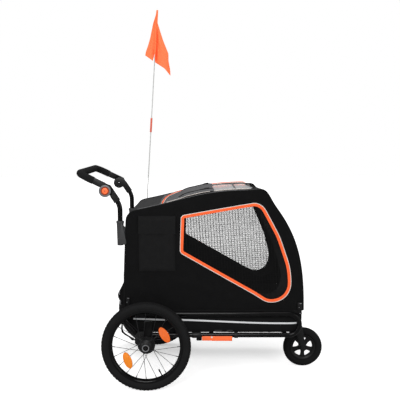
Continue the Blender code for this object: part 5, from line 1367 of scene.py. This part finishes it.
def build_tray():
    """The cloth tray between the side tubes, bound at its top edge, with a reflective strip each side."""
    ring = [Vector((p.x, p.z)) for p in face_rings("lower_tub", (0, -1, 0))[0]]
    low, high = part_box("lower_tub")
    top, half = high.z, high.y
    rests = [low.x + 0.02, high.x - 0.02]
    for place in ("middle", "front"):
        rests.append(sum(corner.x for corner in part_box(f"cross_tube_{place}")) / 2)

    def sag(x, z):
        """How far the cloth hangs under the floor between the tubes that carry it."""
        near = min(abs(x - rest) for rest in rests)
        return 0.0022 * min(1.0, near / 0.05) ** 0.7 * clamped((low.z + 0.03 - z) / 0.03)
    cut = cut_cloth(ring, [], 0.010)
    shells = []
    for sign in SIDES.values():
        def wall_place(p):
            belly = 0.0022 * ruffle(p.x, p.y, 0.10, 41.0 + sign) + 0.0008 * ruffle(p.x, p.y, 0.03, 8.0)
            return Vector((p.x, sign * (half - 0.0016 + min(0.0014, belly)), p.y - sag(p.x, p.y)))
        shells.append(cloth("wall", cut, wall_place, 0.0016, (0, -sign, 0)))
    points, run = run_of(open_path(ring, top), 0.008)

    def wrap_place(p):
        spot, normal = along(points, run, p.x)
        spot = spot + normal * (0.0012 + 0.0008 * ruffle(p.x, p.y, 0.08, 19.0))
        return Vector((spot.x, p.y, spot.y - sag(spot.x, spot.y)))
    middle = Vector(((low.x + high.x) / 2, 0, top))
    cut = cut_cloth(rectangle(0, -half + 0.0015, run[-1], half - 0.0015), [], 0.014)
    shells.append(cloth("wrap", cut, wrap_place, 0.0016, lambda c: (middle - c).normalized()))
    dress(smoothed(joined("tray_cloth", *shells), 60), CLOTH_TRAY, "lower_tub")

    for side, sign in SIDES.items():
        line = softened([at(x, sign * (half + 0.0006), z) for x, z in STRIP_ROUTE], 3, closed=False)
        tape(f"reflective_strip_{side}", line, 0.0072, 0.0010, REFLECTIVE, (0, sign, 0))
        edge = divided([at(x, sign * half, top - 0.004) for x in (-0.105, 0.695)], 0.02, closed=False)
        tape(f"tray_binding_{side}", edge, 0.012, 0.0012, BINDING, (0, sign, 0))
    corners = [(p.x, p.y, 0.012) for p in rectangle(-0.1000, -0.2785, 0.7025, 0.2785)]
    cord("cabin_seam", [at(p.x, p.y, 0.3480) for p in divided(filleted(corners), 0.02)], 0.0026, 12, BINDING,
         closed=True, up=(0, 0, 1))


# Handle

PIVOT = Vector((-0.182, 0.8865))
HANDLE_Y = 0.270
GRIP_BEND = 0.050
WING = ((-0.1210, 0.7440), (-0.1060, 0.7440), (-0.0890, 0.6560), (-0.0920, 0.6470), (-0.1210, 0.6450))
# The turned parts of the tilting joint as (radius, along) profiles
JOINT_PROFILES = {
    "hub_rim": [(0.0190, -0.0010), (0.0262, -0.0010), (0.0262, 0.0004), (0.0250, 0.0012), (0.0198, 0.0012),
                (0.0190, 0.0004)],
    "hub_recess": [(0.0150, -0.0010), (0.0190, -0.0010), (0.0190, 0.0005), (0.0150, 0.0005)],
    "button_dot": [(0.0001, -0.0005), (0.0024, -0.0005), (0.0024, 0.0003), (0.0018, 0.0006),
                   (0.0001, 0.0006)],
    "pin_washer": [(0.0001, -0.0008), (0.0058, -0.0008), (0.0058, 0.0004), (0.0050, 0.0010),
                   (0.0001, 0.0010)],
    "pin_head": [(0.0001, 0.0008), (0.0026, 0.0008), (0.0024, 0.0022), (0.0001, 0.0026)],
}
WING_INNER_Y = 0.2715
WING_OUTER_Y = 0.2848


def build_handle():
    start = PIVOT + Vector((-0.0525, 0.0455))
    corner = PIVOT + Vector((-0.1175, 0.0767))
    unit = (corner - start).normalized()
    reach = (corner - start).length
    flat = filleted([(0, HANDLE_Y, 0), (reach, HANDLE_Y, GRIP_BEND), (reach, -HANDLE_Y, GRIP_BEND),
                     (0, -HANDLE_Y, 0)], closed=False)
    flat = divided(flat, 0.010, closed=False)
    line = [at(start.x + unit.x * p.x, p.y, start.y + unit.y * p.x) for p in flat]
    grip = swept("foam_sleeve", line, round_section(0.0167, 28))
    dress(grip, FOAM, "foam_grip", body="handlebar")

    for side, sign in SIDES.items():
        centre = at(PIVOT.x, sign * (HANDLE_Y + 0.0125), PIVOT.y)
        inner_face = at(PIVOT.x, sign * (HANDLE_Y - 0.0125), PIVOT.y)
        low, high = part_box(f"tilt_button_{side}")
        button_face = at(PIVOT.x, low.y if sign < 0 else high.y, PIVOT.y)
        for label, look, body, slot, place, facing, steps in (
                ("hub_rim", PLASTIC_LIGHT, "handlebar", None, centre, sign, 64),
                # The ring round the button takes the painted gap shadow.
                ("hub_recess", PAINTED_GAP_SHADOW, "handlebar", None, centre, sign, 64),
                ("button_dot", PLASTIC_GREY, f"tilt_button_{side}", None, button_face, sign, 20),
                ("pin_washer", PAINT, "handle_stems", "plastic_black", inner_face, -sign, 32),
                ("pin_head", STEEL, "handle_stems", None, inner_face, -sign, 20)):
            part = turned(f"{label}_{side}", JOINT_PROFILES[label], place, facing, steps)
            dress(part, look, body=body, slot=slot)
        outline = [(x + AXLE_X, z) for x, z in WING]
        wing = plate(f"socket_wing_{side}", outline, sign * WING_INNER_Y, sign * WING_OUTER_Y, 0.0022)
        dress(smoothed(wing), PLASTIC_GREY)
        for label, look, width in (("tilt_button", PLASTIC_ORANGE, 0.0010), ("hinge_hub", PLASTIC, 0.0022),
                                   ("handle_stem", PLASTIC, 0.0018), ("handle_socket", PLASTIC_GREY, 0.0010)):
            eased(f"{label}_{side}", look, width)
        stem = filleted([(-0.1306, 0.8429, 0), (-0.117, 0.8224, 0.080), (-0.117, 0.700, 0)], closed=False)
        line = [at(p.x, sign * HANDLE_Y, p.y) for p in divided(stem, 0.01, closed=False)]
        cord(f"stem_tube_{side}", line, 0.0112, 28, PAINT, body="handle_stems")


# Flag, in the plane of its leaning pole as (across, up) from the pole's foot

POLE_FOOT = Vector((-0.0645, 0.372))
POLE_LEAN = math.radians(3.5)
POLE_Y = 0.2848
FLAG_ROWS = 44
FLAG_COLUMNS = 30
FLAG_TOP = 1.400
REAR_EDGE_END = 1.166
FRONT_EDGE_END = 1.0721
REAR_EDGE = ((-0.0045, FLAG_TOP), (-0.0060, 1.376), (-0.0170, 1.331), (-0.0280, 1.254),
             (-0.0480, REAR_EDGE_END))
FRONT_EDGE = ((0.0045, FLAG_TOP), (0.0048, 1.376), (0.0050, 1.335), (0.0390, 1.247), (0.0700, 1.182),
              (0.0720, 1.147), (0.0860, 1.072))
HEM = [Vector(p) for p in ((-0.048, 1.166), (-0.008, 1.141), (-0.001, 1.178), (0.004, 1.135), (0.054, 1.106),
                           (0.086, 1.072))]


def pole_place(across, up, y):
    """A place in the leaning flag pole's own plane."""
    return at(POLE_FOOT.x + across * math.cos(POLE_LEAN) + up * math.sin(POLE_LEAN), y,
              POLE_FOOT.y - across * math.sin(POLE_LEAN) + up * math.cos(POLE_LEAN))


def flag_place(k, i):
    """A point of the hanging pennant: edges and hem as photographed, waves and a crease along the pole."""
    drop, share = k / FLAG_ROWS, i / FLAG_COLUMNS
    spread = share * (len(HEM) - 1)
    cell = min(int(spread), len(HEM) - 2)
    foot = HEM[cell].lerp(HEM[cell + 1], spread - cell)
    up = FLAG_TOP + (foot.y - FLAG_TOP) * drop
    across = crossing(REAR_EDGE, max(up, REAR_EDGE_END)) * (1 - share)
    across = across + crossing(FRONT_EDGE, max(up, FRONT_EDGE_END)) * share
    across = across + (foot.x - across) * max(0.0, (drop - 0.75) / 0.25) ** 2
    wave = math.sin(share * 9.4 + 0.6) * 0.010 * drop + math.sin(share * 19 + drop * 3) * 0.003 * drop
    crease = math.exp(-(((across - 0.0055 - 0.004 * drop) / 0.0040) ** 2)) * min(1.0, 3 * drop)
    out = (0.0052 + abs(wave) + 0.010 * min(1.0, 2 * drop)) * (1 - 0.9 * crease) + 0.0045 * crease
    return pole_place(across, up, POLE_Y - out)


def build_flag():
    flag = grid_sheet("pennant", FLAG_ROWS, FLAG_COLUMNS, flag_place, 0.0005, 80)
    dress(flag, FLAG_CLOTH, "flag_pennant")
    cord("pole_ferrule", [pole_place(0, up, POLE_Y) for up in (0.7775, 0.7795, 0.8485, 0.8505)], 0.0051, 20,
         FERRULE_RED)


# Studio

# Each lamp's name, place, size, power and aim
LAMPS = (
    ("key", (-0.5, -3.9, 2.8), (1.9, 1.4), 105, (0, 0.1, 0.2)),
    ("overhead", (0.1, 0.2, 3.4), (2.4, 2.4), 52, (0, 0, 0.5)),
    ("side_fill", (3.4, -1.8, 2.0), (1.6, 1.6), 14, (0, 0, 0.5)),
    ("strip_left", (-2.6, -1.8, 1.0), (0.14, 2.4), 14, (0, 0, 0.5)),
    ("strip_right", (2.2, -2.2, 1.0), (0.12, 2.2), 8, (0, 0, 0.5)),
)


def eased_range(tree, value, *limits):
    """A value carried from one range to another with soft ends."""
    labels = ("From Min", "From Max", "To Min", "To Max")
    given = {"Value": value, **dict(zip(labels, limits))}
    return node(tree, "ShaderNodeMapRange", given, interpolation_type="SMOOTHSTEP").outputs[0]


def build_floor():
    """A white floor that glows for the camera, less so near and behind the model, where its shadow lies."""
    bpy.ops.mesh.primitive_plane_add(size=30, location=(0, 0, 0))
    floor = bpy.context.object
    floor.name = "floor"
    made = bpy.data.materials.new("floor_white")
    made.use_nodes = True
    tree = made.node_tree
    shader = tree.nodes["Principled BSDF"]
    seen = node(tree, "ShaderNodeLightPath")
    # Painted reflection: for glossy rays the floor's colour drops from 0.86 to 0.30, so shiny parts reflect a
    # darker floor than the lit one.
    level = maths(tree, "MULTIPLY_ADD", seen.outputs["Is Glossy Ray"], -0.56, 0.86)
    floor_tone_dimmed_in_reflections = node(tree, "ShaderNodeCombineColor", {0: level, 1: level, 2: level}).outputs[0]
    glow = maths(tree, "MAXIMUM", seen.outputs["Is Camera Ray"], seen.outputs["Is Transmission Ray"])
    place = node(tree, "ShaderNodeTexCoord").outputs["Object"]
    away = node(tree, "ShaderNodeVectorMath", {0: place}, operation="LENGTH").outputs["Value"]
    depth = node(tree, "ShaderNodeSeparateXYZ", {0: place}).outputs["Y"]
    # Painted light: the camera-only glow rises from 0.44 near the model to 1.0 far off. It adds up to 0.28 more
    # in front of and under the model's near half, painting out its shadow there and keeping it behind.
    lit = maths(tree, "ADD", eased_range(tree, away, 1.2, 4.5, 0.44, 1.0),
                eased_range(tree, depth, 0.26, 0.06, 0.0, 0.28))
    glow = maths(tree, "MULTIPLY", glow, maths(tree, "MINIMUM", lit, 1.0))
    for key, value in (("Base Color", floor_tone_dimmed_in_reflections), ("Roughness", 0.9), ("Specular IOR Level", 0.1),
                       ("Emission Color", (1, 1, 1, 1)), ("Emission Strength", glow)):
        feed(tree, shader.inputs[key], value)
    floor.data.materials.append(made)


def build_world():
    """White for the camera, a soft grey fill for the model."""
    world = bpy.data.worlds.new("studio")
    bpy.context.scene.world = world
    world.use_nodes = True
    tree = world.node_tree
    tree.nodes.clear()
    seen = node(tree, "ShaderNodeLightPath")
    shown = maths(tree, "MAXIMUM", seen.outputs["Is Camera Ray"], seen.outputs["Is Transmission Ray"])
    soft = maths(tree, "MULTIPLY_ADD", seen.outputs["Is Glossy Ray"], -0.16, 0.40)
    fill = node(tree, "ShaderNodeBackground", {"Color": (1, 1, 1, 1), "Strength": soft})
    white = node(tree, "ShaderNodeBackground", {"Color": (1, 1, 1, 1), "Strength": 1.0})
    mix = node(tree, "ShaderNodeMixShader", {0: shown, 1: fill.outputs[0], 2: white.outputs[0]})
    tree.links.new(mix.outputs[0], tree.nodes.new("ShaderNodeOutputWorld").inputs[0])


def build_lamps():
    for name, place, size, power, aim in LAMPS:
        lamp = bpy.data.lights.new(name, "AREA")
        lamp.shape = "RECTANGLE"
        lamp.size, lamp.size_y = size
        lamp.energy = power
        made = linked(name, lamp)
        made.location = place
        made.rotation_euler = (Vector(aim) - Vector(place)).to_track_quat("-Z", "Y").to_euler()


def build_camera():
    camera = bpy.data.cameras.new("camera")
    camera.lens = LENS
    camera.sensor_width = 36
    made = linked("camera", camera)
    made.location = CAMERA_PLACE
    made.rotation_euler = (math.pi / 2 - CAMERA_PITCH, 0, 0)
    bpy.context.scene.camera = made
    bpy.context.scene.view_settings.view_transform = "Standard"


for build in (build_floor, build_world, build_lamps, build_camera):
    build()
for wheel_side in SIDES:
    build_rear_wheel(wheel_side)
for build in (build_front_wheel, build_frame, build_hardware, build_lever, build_sides, build_roof,
              build_cover, build_doors, build_corner_fittings, build_pocket, build_tray, build_handle,
              build_flag):
    build()
